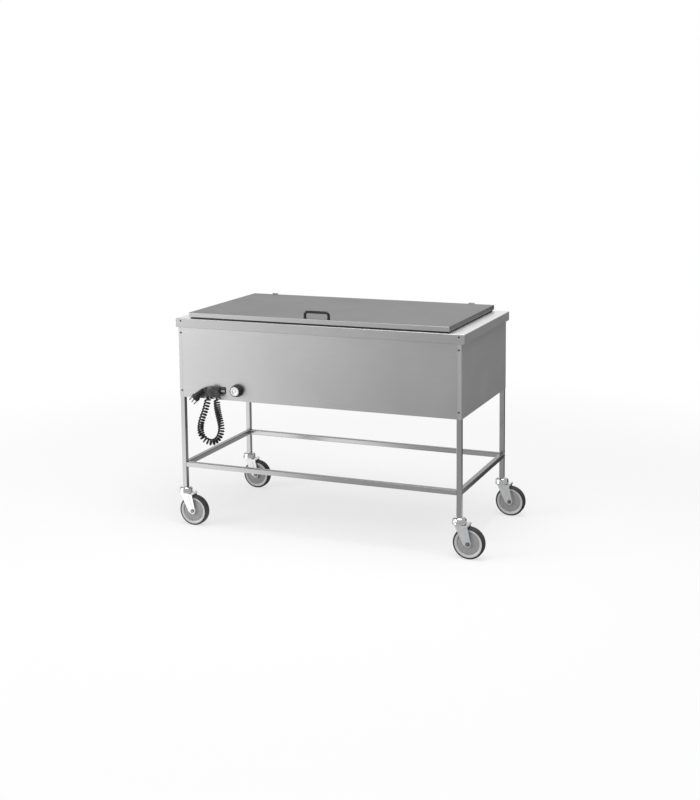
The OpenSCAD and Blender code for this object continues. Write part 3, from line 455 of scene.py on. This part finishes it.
def metal_finish(
        name, colour, grain=(20, 900, 900), contrast=0.1, rough=0.35, smudge=0.1, bump=0.08,
        painted_top=None, painted_ends=None):
    """Brushed, plated or turned metal, with painted light or shade on top and on the ends if
    given.
    """
    inputs = {
        "Colour": colour, "Grain": grain, "Contrast": contrast, "Roughness": rough,
        "Smudge": smudge}
    finish, work = patterned_finish(name, 1, worked_metal, inputs, bump, 0.00005)
    if painted_top or painted_ends:
        inputs = {"Colour": colour, "Painted top": painted_top or colour, "Painted ends": painted_ends or colour}
        tree = finish.node_tree
        facing = add_node(tree, "Group", inputs, node_tree=painted_facing_light)
        feed(tree, work, {"Colour": facing.outputs["Colour"]})
    return finish


def finish_nodes(finish, *names):
    """The CAD's own pieces keep their shape and take this finish."""
    for name in names:
        put_on(bpy.data.objects[name], finish)


# The pins are dark nickel, painted darker still for the shade they lie in.
finish_nodes(
    metal_finish("pin_steel_painted_shade", (0.16, 0.155, 0.15, 1), (300, 300, 300), rough=0.30), "plug_pins")

# ----------------------------------------------------------------- castors
# Swivel castors on stems in the legs: a pressed and chromed housing, a ribbed
# galvanised fork, an axle bolt with its nut, and a grey moulded wheel centre
# with a paler rim that carries a rubber tyre.
CORNERS = {
    "front_left": (-1, -1), "front_right": (1, -1), "back_left": (-1, 1), "back_right": (1, 1)}
LEGS_MIDDLE = Vector((-0.036, 0.00565, 0))
LEG_X, LEG_Y = 0.593, 0.292
TRAIL, WHEEL_RADIUS, CASTOR_HEIGHT = 0.0385, 0.0625, 0.160
FORK_ROUNDING, BOLT_ROUNDING = 0.0007, 0.0004
SLIVERS = 0.000002  # edges shorter than this go after rounding

chrome = metal_finish(
    "castor_chrome", grey(0.86), (60, 60, 60), contrast=0.03, rough=0.09, smudge=0.05, bump=0.02)
galvanised = metal_finish(
    "castor_zinc", (0.90, 0.91, 0.92, 1), (140, 140, 140), contrast=0.14, rough=0.42, smudge=0.12)
bolt_steel = metal_finish("bolt_steel", grey(0.28), (400, 400, 400), contrast=0.15, rough=0.32)
wheel_plastic = plastic_finish(
    "wheel_centre_plastic", grey(0.40), grey(0.46, 0.04), dust=0.3, gloss=0.5, pebble=500)
rim_plastic = plastic_finish(
    "wheel_rim_plastic", grey(0.68), grey(0.62, 0.04), dust=0.25, gloss=0.32, pebble=700,
    bump=0.1)
tyre_rubber = plastic_finish(
    "tyre_rubber", grey(0.035), grey(0.11, 0.05), dust=0.55, gloss=0.62, pebble=420, bump=0.3)


def copy_of(piece, name, move):
    """Copy with its own mesh, moved in its mesh."""
    twin = piece.copy()
    twin.data = piece.data.copy()
    twin.name = twin.data.name = name
    twin.data.transform(Matrix.Translation(move))
    bpy.context.collection.objects.link(twin)
    return twin


def join(first, *others):
    """Joins pieces that are one moulding or one riveted part."""
    take(first)
    for other in others:
        other.select_set(True)
    bpy.ops.object.join()
    return first


def apply(piece, modifier):
    """Works the modifier into the piece's mesh."""
    take(piece)
    bpy.ops.object.modifier_apply(modifier=modifier.name)


def round_edges(piece, width, segments=2, degrees=30):
    """Rounds the sharp edges of a finished form."""
    rounding = piece.modifiers.new("rounding", "BEVEL")
    rounding.width, rounding.segments = width, segments
    rounding.limit_method, rounding.angle_limit = "ANGLE", math.radians(degrees)
    apply(piece, rounding)
    open_up(piece)
    bpy.ops.mesh.dissolve_degenerate(threshold=SLIVERS)
    close()
    smooth(piece)
    flats = piece.modifiers.new("flats", "WEIGHTED_NORMAL")
    flats.keep_sharp, flats.weight = True, 100
    apply(piece, flats)
    return piece


def softened(node, width):
    """Copy of a CAD piece, merged into whole faces, with its edges rounded."""
    piece = bpy.data.objects.new("soft_" + node, bpy.data.objects[node].data.copy())
    piece.data.name = piece.name
    bpy.context.collection.objects.link(piece)
    open_up(piece)
    merge_doubles()
    bpy.ops.mesh.dissolve_limited(angle_limit=math.radians(1))
    close()
    return round_edges(piece, width, degrees=35)


housing = turned("housing_pattern", [
    (0, -24.5), (11, -24.5), (11, -26), (17, -26), (28.2, -26), (29, -25.3), (29, -22.8),
    (28.4, -22), (28.2, -20), (27.7, -15), (27.0, -10.5), (25.9, -7), (24.2, -4.0), (21.6, -1.8),
    (18.5, -0.6), (14, -0.15), (9.2, 0), (9.0, 0.6), (8.3, 1.2), (8.3, 44), (7.3, 45), (0, 45),
], sides=64)
join(housing, turned("king_pin_pattern", [
    (0, -33.7), (6.5, -33.7), (7.8, -33.1), (8, -32), (8, -29.7), (5, -29.5), (5, -24.6),
    (0, -24.6),
], sides=32))
hub = turned("hub_pattern", [
    (4.05, -19), (11.6, -19), (12.6, -18), (12.9, -13.2), (15, -12.4), (17, -12.2), (30, -11.2),
    (40.5, -11.4), (43.2, -10.2), (44.8, -10), (44.8, 10), (43.2, 10.2), (40.5, 11.4),
    (30, 11.2), (17, 12.2), (15, 12.4), (12.9, 13.2), (12.6, 18), (11.6, 19), (4.05, 19),
    (4.05, -19),
], sides=96)
rim = turned("rim_pattern", [
    (44.8, -10), (44.9, -12.4), (45.6, -13.4), (47.2, -14.0), (50.0, -14.8), (53.2, -15.2),
    (54.5, -15.2), (54.5, 15.2), (53.2, 15.2), (50.0, 14.8), (47.2, 14.0), (45.6, 13.4),
    (44.9, 12.4), (44.8, 10), (44.8, -10),
], sides=96)
tyre = turned("tyre_pattern", [
    (54.5, -15.2), (55.5, -16), (58.0, -15.7), (60.0, -14.6), (61.5, -12.6), (62.2, -10),
    (62.45, -6.6), (62.5, -2.2), (62.35, 0), (62.5, 2.2), (62.45, 6.6), (62.2, 10),
    (61.5, 12.6), (60.0, 14.6), (58.0, 15.7), (55.5, 16), (54.5, 15.2), (54.5, -15.2),
], sides=96)
lying = Matrix.Rotation(math.pi / 2, 4, "X")
for piece in (hub, rim, tyre):
    piece.data.transform(lying)
for corner, (sx, sy) in CORNERS.items():
    leg_middle = LEGS_MIDDLE + Vector((sx * LEG_X, sy * LEG_Y, 0))
    leg_foot = leg_middle + Vector((0, 0, CASTOR_HEIGHT))
    wheel_middle = leg_middle + Vector((TRAIL, 0, WHEEL_RADIUS))
    wheel = "wheel_" + corner
    for pattern, kind, finish, body, slot, middle in (
        (housing, "castor_housing_", chrome, "frame", "castor_chrome", leg_foot),
        (hub, "castor_hub_", wheel_plastic, wheel, "wheel_centre", wheel_middle),
        (tyre, "castor_tyre_", tyre_rubber, wheel, "tyre", wheel_middle),
    ):
        node = kind + corner
        dress(copy_of(pattern, "dressed_" + node, middle), finish, body, slot, node)
    wheel_rim = copy_of(rim, "castor_rim_" + corner, wheel_middle)
    dress(wheel_rim, rim_plastic, wheel, "wheel_centre")
    for kind, rounding, finish, slot in (
        ("castor_fork_", FORK_ROUNDING, galvanised, "castor_zinc"),
        ("castor_axle_", BOLT_ROUNDING, bolt_steel, "castor_bolts"),
    ):
        node = kind + corner
        dress(softened(node, rounding), finish, "fork_" + corner, slot, node)
for pattern in (housing, hub, rim, tyre):
    bpy.data.objects.remove(pattern)

# ------------------------------------------------------------ legs, rails
# Square stainless tube, 20 mm wide, polished along its length. The long rails
# are bolted through the legs; the short ones are welded between them.
# Painted light: the legs and short rails are lit and shaded copies of one steel. Their ends are
# painted dark on the left and bright on the right, and the short rails' tops are painted dark.
for side, painted_leg_end, painted_rail_end in (("left", 0.17, 0.20), ("right", 0.80, 0.72)):
    leg_steel = metal_finish(
        "leg_steel_painted_light_" + side, grey(0.56), (700, 700, 14), rough=0.18, smudge=0.08,
        painted_ends=grey(painted_leg_end))
    finish_nodes(leg_steel, "leg_front_" + side, "leg_back_" + side)
    short_rail_steel = metal_finish(
        "short_rail_steel_painted_light_" + side, grey(0.50), (700, 14, 700), rough=0.20, smudge=0.08,
        painted_top=grey(0.22), painted_ends=grey(painted_rail_end))
    finish_nodes(short_rail_steel, "rail_" + side)
# Painted shade: the long rails' tops are painted darker than their fronts.
long_rail_steel = metal_finish(
    "long_rail_steel", grey(0.60), (14, 700, 700), rough=0.20, smudge=0.08, painted_top=grey(0.24))
finish_nodes(long_rail_steel, "rail_front", "rail_back")
finish_nodes(bolt_steel, "rail_bolts")

# -------------------------------------------------------------- body sheet
# Front, back, sides and the deck with its turned-down edges: 1.5 mm stainless
# sheet with a belt-ground face, screwed to the legs.
FOLD_ROUNDING = 0.0005
LENGTHWISE, DEPTHWISE = (9, 420, 420), (420, 9, 420)

panel_steel = metal_finish(
    "panel_steel", grey(0.60), LENGTHWISE, contrast=0.07, rough=0.34, smudge=0.05, bump=0.05)
# Painted light: the side panels' outer faces are painted slightly darker on the left and much
# brighter on the right.
left_steel, right_steel = (
    metal_finish(
        "side_steel_painted_light_" + side, grey(0.56), DEPTHWISE, contrast=0.07, rough=0.52, smudge=0.05,
        bump=0.05, painted_ends=grey(painted_tone))
    for side, painted_tone in (("left", 0.50), ("right", 0.90)))
# Painted highlight: the deck's top and its ends are painted nearly white.
deck_steel = metal_finish(
    "deck_steel", grey(0.48), LENGTHWISE, contrast=0.07, rough=0.46, smudge=0.06, bump=0.05,
    painted_top=grey(0.94), painted_ends=grey(0.97))
for node, finish in (
    ("front_panel", panel_steel), ("back_panel", panel_steel), ("side_panel_left", left_steel),
    ("side_panel_right", right_steel), ("deck", deck_steel),
):
    dress(softened(node, FOLD_ROUNDING), finish, "frame", "body_sheet", node)

# ------------------------------------------------------- well and heating
# Pressed well of 1 mm stainless sheet under the deck's mouth, with a tubular
# heating element strapped to its floor, and a cover that closes the body below.
inner_steel = metal_finish(
    "inner_steel", grey(0.52), (120, 120, 120), contrast=0.05, rough=0.32, smudge=0.06,
    bump=0.03)
finish_nodes(inner_steel, "bottom_cover", "well", "element_clamps", "lid_liner")
finish_nodes(
    metal_finish(
        "element_sheath", (0.30, 0.27, 0.24, 1), (30, 200, 200), contrast=0.25, rough=0.5,
        smudge=0.2),
    "heating_element")

# ------------------------------------------------------------ panel screws
# Pan-head screws, 4 mm, with a cross recess, darker than the sheet. They hold
# the panels to the legs, and at the front the deck's turned-down edge as well.
FACE_Y = 0.3035
SCREW_HEIGHTS = {-1: (0.567, 0.8057, 0.855), 1: (0.567, 0.8057)}
RECESS_LONG, RECESS_NARROW, RECESS_FLOOR, ABOVE_HEAD = 0.0016, 0.0004, 0.0009, 0.003


def block(name, low, high):
    """Cube primitive stretched to two corners, its place in its mesh."""
    deselect_all()
    low, high = Vector(low), Vector(high)
    bpy.ops.mesh.primitive_cube_add(size=1, location=(low + high) / 2)
    piece = bpy.context.object
    piece.name = piece.data.name = name
    piece.scale = high - low
    bpy.ops.object.transform_apply(location=True, rotation=True, scale=True)
    return piece


screw = turned("screw_pattern", [
    (0, 2.2), (1.2, 2.14), (2.4, 1.8), (3.3, 1.2), (3.85, 0.5), (4, 0.1), (3.9, 0), (2, 0),
    (2, -5.6), (1.6, -6), (0, -6),
], sides=24)
for x, y in ((RECESS_LONG, RECESS_NARROW), (RECESS_NARROW, RECESS_LONG)):
    recess = block("recess", (-x, -y, RECESS_FLOOR), (x, y, ABOVE_HEAD))
    cut = screw.modifiers.new("cut", "BOOLEAN")
    cut.operation, cut.solver, cut.object = "DIFFERENCE", "EXACT", recess
    apply(screw, cut)
    bpy.data.objects.remove(recess)
smooth(screw)
heads = []
for side, heights in SCREW_HEIGHTS.items():
    for end in (-1, 1):
        for height in heights:
            head = copy_of(screw, "panel_screw_%d" % len(heads), (0, 0, 0))
            head.data.transform(Matrix.Rotation(-side * math.pi / 2, 4, "X"))
            head.data.transform(Matrix.Translation(
                LEGS_MIDDLE + Vector((end * LEG_X, side * FACE_Y, height))))
            heads.append(head)
bpy.data.objects.remove(screw)
dressed_screws = join(*heads)
dressed_screws.name = dressed_screws.data.name = "cross_head_screws"
screw_steel = metal_finish(
    "panel_screw_steel", grey(0.10), (600, 600, 600), contrast=0.2, rough=0.34)
dress(dressed_screws, screw_steel, "frame", "screws", "panel_screws")

# --------------------------------------------------------------------- lid
# Folded stainless skin over an insulating mat, closed from below by a liner of
# the same inner sheet as the well.
LID_ROUNDING = 0.0006

# Painted shade: the lid's top and ends are painted darker than its front.
lid_steel = metal_finish(
    "lid_steel", grey(0.48), LENGTHWISE, contrast=0.06, rough=0.46, smudge=0.06, bump=0.05,
    painted_top=grey(0.26), painted_ends=grey(0.26))
folded_lid = softened("lid_skin", LID_ROUNDING)
dress(folded_lid, lid_steel, "lid", "lid_sheet", "lid_skin")
mineral_wool = plastic_finish(
    "mineral_wool", (0.72, 0.62, 0.36, 1), (0.84, 0.78, 0.56, 1), dust=0.9, gloss=0.8,
    pebble=260, bump=0.9)
finish_nodes(mineral_wool, "lid_filling")

# -------------------------------------------------------------------- seal
# Black rubber strip with rounded lips, glued round the underside of the lid. It
# lies on the deck round the mouth of the well.
SEAL_LOW, SEAL_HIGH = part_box("lid_seal")
LIP_WIDTH, LIP_ROUNDING = 0.012, 0.0016


def select_faces(piece, chosen):
    """Selects the chosen faces of the open piece, and no others."""
    shape = bmesh.from_edit_mesh(piece.data)
    for face in shape.faces:
        face.select_set(chosen(face))
    bmesh.update_edit_mesh(piece.data)


lip_seal = block("lip_seal", SEAL_LOW, SEAL_HIGH)
open_up(lip_seal)
select_faces(lip_seal, lambda face: abs(face.normal.z) > 0.5)
bpy.ops.mesh.inset(thickness=LIP_WIDTH)
bpy.ops.mesh.bridge_edge_loops()
face_outwards()
close()
round_edges(lip_seal, LIP_ROUNDING, segments=3)
seal_rubber = plastic_finish(
    "seal_rubber", grey(0.008), grey(0.03), dust=0.3, gloss=0.6, pebble=700)
dress(lip_seal, seal_rubber, "lid", "seal", "lid_seal")

# ------------------------------------------------------------------ hinges
# Two small butt hinges of dull steel behind the lid, with bolt-steel pins. One
# leaf of each is on the lid, the other stands on the deck.
LEAF_ROUNDING = 0.0003

hinge_steel = metal_finish(
    "hinge_steel", grey(0.30), (500, 60, 500), contrast=0.14, rough=0.34)
for node, body in (("hinge_lid_leaves", "lid"), ("hinge_deck_leaves", "frame")):
    dress(softened(node, LEAF_ROUNDING), hinge_steel, body, "hinges", node)
finish_nodes(bolt_steel, "hinge_pins")

# ------------------------------------------------------------------ handle
# Bow handle bent from 11 mm bar, coated black, on two collars that are
# screwed from inside the lid.
BAR_RADIUS, BAR_BEND, HALF_BOW, BOW_HEIGHT = 0.0055, 0.012, 0.0505, 0.032
BOW_FOOT = Vector((-0.028, -0.28385, 0.891))
BOW_RISE = BOW_HEIGHT - BAR_RADIUS - BAR_BEND
COLLAR = [(0, 0), (6.9, 0), (7, 0.3), (7, 1.6), (6.7, 2.2), (6.1, 2.5), (5.4, 2.6), (0, 2.6)]

deselect_all()
bpy.ops.mesh.primitive_circle_add(
    vertices=24, radius=BAR_RADIUS, fill_type="NGON",
    location=BOW_FOOT - Vector((HALF_BOW, 0, 0)))
bow_handle = bpy.context.object
bow_handle.name = bow_handle.data.name = "bow_handle"
bpy.ops.object.transform_apply(location=True)


def extrude(*run):
    """Draws the selected faces of the open piece out along the run."""
    bpy.ops.mesh.extrude_region_move(TRANSFORM_OT_translate={"value": run})


open_up(bow_handle)
extrude(0, 0, BOW_RISE)
for end, run in ((-1, (2 * (HALF_BOW - BAR_BEND), 0, 0)), (1, (0, 0, -BOW_RISE))):
    bpy.ops.mesh.spin(
        steps=8, angle=-math.pi / 2, axis=(0, 1, 0),
        center=BOW_FOOT + Vector((end * (HALF_BOW - BAR_BEND), 0, BOW_RISE)))
    extrude(*run)
merge_doubles()
face_outwards()
close()
smooth(bow_handle, 50)
for end in (-1, 1):
    foot_place = Matrix.Translation(BOW_FOOT + Vector((end * HALF_BOW, 0, 0)))
    join(bow_handle, turned("collar", COLLAR, sides=32, place=foot_place))
handle_coating = plastic_finish(
    "handle_coating", grey(0.010), grey(0.03), dust=0.3, gloss=0.34, pebble=1500, bump=0.1)
dress(bow_handle, handle_coating, "lid", "black_plastic", "handle")
finish_nodes(bolt_steel, "handle_screws")

# -------------------------------------------------------------------- knob
# Black moulded knob on the thermostat's spindle, fluted for grip, with a small
# pointer on its rim and a bright aluminium disc pressed into its front.
KNOB = Vector((-0.375, -0.29845, 0.584))
FLUTES, FLUTE_DEPTH = 24, 0.035
GRIP_RADIUS, GRIP_LOW, GRIP_HIGH = 0.0205, 0.009, 0.0245
POINTER_LOW, POINTER_HIGH = (-0.0228, -0.0015, 0.016), (-0.0192, 0.0015, 0.0262)

outwards = Matrix.Translation(KNOB) @ Matrix.Rotation(math.pi / 2, 4, "X")
black_moulding = plastic_finish(
    "black_moulding", grey(0.010), grey(0.03), dust=0.35, gloss=0.36, pebble=1100)
fluted_knob = turned("fluted_knob", [
    (0, 19.5), (3.05, 19.5), (3.05, 6), (9.6, 6), (9.6, 0), (21.6, 0), (22.8, 0.7), (24.6, 4.0),
    (25.8, 6.6), (26, 8.2), (25.7, 9.4), (25.0, 11), (24.4, 13.5), (23.4, 17.5), (22.4, 21.5),
    (21.7, 24.2), (21.2, 25.4), (20.5, 26), (19.6, 26), (19.1, 25.7), (19, 24.5), (0, 24.5),
], sides=144)
for vertex in fluted_knob.data.vertices:
    radius = math.hypot(vertex.co.x, vertex.co.y)
    if radius > GRIP_RADIUS and GRIP_LOW < vertex.co.z < GRIP_HIGH:
        dip = 0.5 + 0.5 * math.cos(FLUTES * math.atan2(vertex.co.y, vertex.co.x))
        shrink = 1 - FLUTE_DEPTH * dip * dip
        vertex.co.x *= shrink
        vertex.co.y *= shrink
join(fluted_knob, round_edges(block("pointer", POINTER_LOW, POINTER_HIGH), width=0.0006))
fluted_knob.data.transform(outwards)
dress(fluted_knob, black_moulding, "knob", "black_plastic", "knob")
spun_disc = turned("spun_disc", [
    (0, 25.35), (5.4, 25.4), (6.0, 25.1), (7.4, 25.1), (8.0, 25.45), (13, 25.6), (17.0, 25.65),
    (18.3, 25.5), (18.85, 25.0), (18.9, 24.5), (0, 24.5),
], sides=96, place=outwards)
disc_aluminium = metal_finish(
    "knob_disc_aluminium", grey(0.80), (500, 500, 500), contrast=0.08, rough=0.34)
dress(spun_disc, disc_aluminium, "knob", "knob_face", "knob_disc")
thermostat_body = plastic_finish(
    "thermostat_body", grey(0.62, 0.03), grey(0.4), dust=0.5, gloss=0.5, pebble=600)
finish_nodes(thermostat_body, "thermostat")
finish_nodes(bolt_steel, "spindle")

# ------------------------------------------------------------------ switch
# Black rocker switch pressed into the panel: a rim, a deep body behind it with
# two blade terminals, and a grey dished rocker on two pivots.
SWITCH = Vector((-0.440, -0.29785, 0.580))
RIM_X, RIM_Y, RIM_Z = 0.0125, 0.002, 0.0135
BODY_INSET, BODY_DEPTH = 0.0013, 0.022
OPENING_INSET, OPENING_DEPTH = 0.004, 0.012
BLADE_X, BLADE_FROM, BLADE_TO = 0.005, 0.021, 0.029
ROCKER_X, ROCKER_Z, ROCKER_FRONT, ROCKER_BACK = 0.0082, 0.0084, -0.0065, -0.0015
ROCKER_DISH, ROCKER_TONGUE, ROCKER_TILT = 0.0014, 0.0055, -9
PIVOT_Y = 0.003

rim_frame = block(
    "rim_frame", SWITCH - Vector((RIM_X, RIM_Y, RIM_Z)), SWITCH + Vector((RIM_X, 0, RIM_Z)))
open_up(rim_frame)
for facing, inset, depth in (
    (1, BODY_INSET, BODY_DEPTH), (-1, OPENING_INSET, OPENING_DEPTH),
):
    shape = bmesh.from_edit_mesh(rim_frame.data)
    outermost = max(facing * face.calc_center_median().y for face in shape.faces) - DOUBLES
    select_faces(rim_frame, lambda face: (
        facing * face.normal.y > 0.9 and facing * face.calc_center_median().y > outermost))
    bpy.ops.mesh.inset(thickness=inset)
    extrude(0, depth, 0)
close()
round_edges(rim_frame, width=0.0006)
for x in (-BLADE_X, BLADE_X):
    blade = block(
        "blade", SWITCH + Vector((x - 0.0005, BLADE_FROM, -0.0025)),
        SWITCH + Vector((x + 0.0005, BLADE_TO, 0.0025)))
    join(rim_frame, round_edges(blade, width=0.0002))
dress(rim_frame, black_moulding, "frame", "black_plastic", "switch_frame")
dished_rocker = block(
    "dished_rocker", (-ROCKER_X, ROCKER_FRONT, -ROCKER_Z), (ROCKER_X, ROCKER_BACK, ROCKER_Z))
open_up(dished_rocker)
for height in (-ROCKER_Z / 2, 0, ROCKER_Z / 2):
    bpy.ops.mesh.bisect(plane_co=(0, 0, height), plane_no=(0, 0, 1))
    bpy.ops.mesh.select_all(action="SELECT")
shape = bmesh.from_edit_mesh(dished_rocker.data)
for vertex in shape.verts:
    if vertex.co.y < ROCKER_FRONT + 0.0005:
        vertex.co.y += ROCKER_DISH * (1 - (vertex.co.z / ROCKER_Z) ** 2)
select_faces(dished_rocker, lambda face: (
    face.normal.y > 0.9 and abs(face.calc_center_median().z) < ROCKER_Z / 2))
extrude(0, ROCKER_TONGUE, 0)
close()
round_edges(dished_rocker, width=0.0005, degrees=40)
join(dished_rocker, turned("pivot", [
    (0, -9.4), (0.9, -9.4), (1, -9.2), (1, 9.2), (0.9, 9.4), (0, 9.4),
], sides=24, place=Matrix.Rotation(math.pi / 2, 4, "Y")))
dished_rocker.data.transform(
    Matrix.Translation(SWITCH + Vector((0, PIVOT_Y, 0)))
    @ Matrix.Rotation(math.radians(ROCKER_TILT), 4, "X"))
rocker_plastic = plastic_finish(
    "rocker_plastic", grey(0.42), grey(0.5), dust=0.4, gloss=0.35, pebble=1000)
dress(dished_rocker, rocker_plastic, "rocker", "rocker_plastic", "rocker")

# ------------------------------------------------------------- lead holder
# Black moulding on the panel: a base plate, a saddle that the lead lies over, a
# boss for its fixed end, an arm for the parked plug and a domed hood in front.
HOLDER_ROOT = Vector((HOLDER.x, -0.29785, HOLDER.z))
HOOD_OUTLINE = (
    (-27.9, 17.9), (-14, 12.7), (-3.4, 14.8), (10.6, 12.2), (22.8, 10.5), (38.2, 10.1),
    (33.8, 21), (30.2, 33.3), (25.5, 43.9), (18.2, 50.4), (7.8, 55.4), (-4.4, 58.6),
    (-16.8, 54.1), (-24.8, 46.4), (-27.7, 33.6),
)
HOOD_EDGE = 0.0014
# Each ring of the dome: its size against the ring before, and its height over it
HOOD_RINGS = ((0.97, 0.0005), (0.92, 0.0009), (0.86, 0.0008), (0.76, 0.0007), (0.60, 0.0005))


def holder_place(x, y, z):
    """From the holder's own millimetres to its place on the panel."""
    return HOLDER_ROOT + Vector((x, y, z)) / 1000


def holder_block(low, high, corner, chosen):
    """Block with the chosen edges along Y rounded by the corner radius."""
    piece = block("holder_block", holder_place(*low), holder_place(*high))
    open_up(piece)
    bpy.ops.mesh.select_all(action="DESELECT")
    shape = bmesh.from_edit_mesh(piece.data)
    for edge in shape.edges:
        a, b = (vertex.co - HOLDER_ROOT for vertex in edge.verts)
        edge.select_set(abs(a.y - b.y) > 0.001 and chosen(a.x, a.z))
    bmesh.update_edit_mesh(piece.data)
    bpy.ops.mesh.bevel(offset=corner, segments=6)
    close()
    return round_edges(piece, width=0.0007)


lead_holder = holder_block(
    (-21, -3, 8), (21, 0, 48), corner=0.0125, chosen=lambda x, z: True)
lead_holder.name = lead_holder.data.name = "lead_holder"
boss = holder_block(
    (-34, -19, 14), (-18, 0, 23), corner=0.003, chosen=lambda x, z: z < 0.018)
arm = holder_block(
    (-49.4, -12, 14), (-24, 0, 31), corner=0.0084, chosen=lambda x, z: x < -0.04)
deselect_all()
bpy.ops.mesh.primitive_cylinder_add(
    vertices=64, radius=0.021, depth=0.019, location=holder_place(-11, -9.5, 23),
    rotation=(math.pi / 2, 0, 0))
saddle = bpy.context.object
bpy.ops.object.transform_apply(location=True, rotation=True, scale=True)
open_up(saddle)
bpy.ops.mesh.bisect(
    plane_co=holder_place(-11, 0, 22.9), plane_no=(0, 0, 1), use_fill=True, clear_inner=True)
close()
round_edges(saddle, width=0.0006, degrees=40)
deselect_all()
bpy.ops.mesh.primitive_circle_add(
    vertices=len(HOOD_OUTLINE), radius=0.02, fill_type="NGON", location=(0, 0, 0))
hood = bpy.context.object
for vertex, (x, z) in zip(hood.data.vertices, HOOD_OUTLINE):
    vertex.co = holder_place(x, -19, z)
open_up(hood)
face_outwards()
extrude(0, -HOOD_EDGE, 0)
for size, rise in HOOD_RINGS:
    extrude(0, -rise, 0)
    bpy.ops.transform.resize(value=(size, 1, size), center_override=holder_place(2, -20, 32))
face_outwards()
close()
crown = hood.modifiers.new("crown", "SUBSURF")
crown.levels = crown.render_levels = 2
apply(hood, crown)
smooth(hood, 60)
join(lead_holder, boss, arm, saddle, hood)
holder_moulding = plastic_finish(
    "holder_moulding", grey(0.020), grey(0.16), dust=0.5, gloss=0.34, pebble=900)
dress(lead_holder, holder_moulding, "frame", "black_plastic", "cord_holder")
finish_nodes(bolt_steel, "holder_screws")

# ------------------------------------------------------ floor, light, world
# A plain pale floor that runs into a white background, and soft studio light:
# one softbox at the front left, one above the trolley, and a pale room around.
FLOOR_RADIUS = 30
WHITE_FROM, WHITE_TO = 1.1, 3.2  # metres from the middle of the trolley
WHITE_NEAR = 0.66  # share of plain white that the camera sees close by
FLOOR_SEEN, FLOOR_LIT = 0.93, 0.50
ROOM_LEVEL = 0.40
FLOOR_MIRRORED, ROOM_MIRRORED = 0.85, 0.08

# How bright the studio is in each direction from the trolley: a pale wall at the
# front left, a low pale screen at the back and a dark doorway at the back right
studio_level, level, level_out = shader_group(
    "studio_level", [("Direction", "Vector", (0, 0, 0))], [("Level", "Color")])
aim = add_node(studio_level, "VectorMath", {0: level["Direction"]}, operation="NORMALIZE")
total = ROOM_LEVEL
for way, nearly, fully, gain in (
    ((-0.85, -0.50, 0.00), 0.70, 1.00, 0.86),
    ((-0.30, 0.94, 0.16), 0.80, 0.98, 0.55),
    ((0.62, 0.77, -0.05), 0.88, 0.99, -0.40),
):
    toward = add_node(
        studio_level, "VectorMath", {0: aim.outputs[0], 1: Vector(way).normalized()},
        operation="DOT_PRODUCT")
    patch = eased(studio_level, toward.outputs["Value"], nearly, fully, 0, gain)
    total = result(studio_level, "ADD", patch, total)
feed(studio_level, level_out, {"Level": total})

bpy.ops.mesh.primitive_circle_add(
    vertices=96, radius=FLOOR_RADIUS, fill_type="NGON", location=(0, 0, 0))
floor = bpy.context.object
floor.name = "studio_floor"
floor_finish = bpy.data.materials.new("studio_floor")
floor_finish.use_nodes = True
tree = floor_finish.node_tree
rays = add_node(tree, "LightPath").outputs
paint = tree.nodes["Principled BSDF"]
feed(tree, paint, {
    "Roughness": 0.85,
    "Specular IOR Level": 0.1,
    "Base Color": mixed(tree, rays["Is Camera Ray"], grey(FLOOR_LIT), grey(FLOOR_SEEN)),
})
place = add_node(tree, "TexCoord").outputs["Object"]
far = add_node(tree, "VectorMath", {0: place}, operation="LENGTH").outputs["Value"]
# The camera sees plain white instead of paint, and metal sees the studio's level
seen = result(
    tree, "MULTIPLY", eased(tree, far, WHITE_FROM, WHITE_TO, WHITE_NEAR), rays["Is Camera Ray"])
mirrored = result(tree, "MAXIMUM", rays["Is Glossy Ray"], rays["Is Transmission Ray"])
share = result(tree, "MULTIPLY_ADD", mirrored, FLOOR_MIRRORED, seen)
around = add_node(tree, "Group", {"Direction": place}, node_tree=studio_level)
shown = mixed(tree, rays["Is Camera Ray"], around.outputs["Level"], grey(1))
white = add_node(tree, "Emission", {"Color": shown})
blend = add_node(
    tree, "MixShader", {0: share, 1: paint.outputs["BSDF"], 2: white.outputs["Emission"]})
feed(tree, tree.nodes["Material Output"], {"Surface": blend.outputs["Shader"]})
put_on(floor, floor_finish)


def softbox(name, place, aim, width, height, power):
    """Large soft lamp that looks at a point."""
    lamp_data = bpy.data.lights.new(name, "AREA")
    lamp_data.shape = "RECTANGLE"
    lamp_data.size, lamp_data.size_y = width, height
    lamp_data.energy = power
    lamp = bpy.data.objects.new(name, lamp_data)
    bpy.context.collection.objects.link(lamp)
    look = (Vector(aim) - Vector(place)).to_track_quat("-Z", "Y").to_matrix().to_4x4()
    lamp.matrix_world = Matrix.Translation(place) @ look
    lamp.visible_camera = False


softbox("key_softbox", (-4.2, -3.4, 1.9), (-0.3, 0, 0.6), width=2.2, height=2.6, power=90)
softbox("top_softbox", (0.6, -0.8, 3.8), (0, 0, 0.6), width=2.8, height=2.8, power=95)

world = bpy.data.worlds.new("studio")
bpy.context.scene.world = world
world.use_nodes = True
tree = world.node_tree
rays = add_node(tree, "LightPath").outputs
room = add_node(tree, "TexCoord").outputs["Generated"]
around = add_node(tree, "Group", {"Direction": room}, node_tree=studio_level)
seen = result(tree, "MAXIMUM", rays["Is Camera Ray"], rays["Is Transmission Ray"])
share = result(
    tree, "MULTIPLY_ADD", rays["Is Glossy Ray"], ROOM_MIRRORED, seen, use_clamp=True)
room_colour = mixed(tree, share, around.outputs["Level"], grey(1))
feed(tree, tree.nodes["Background"], {"Color": room_colour})
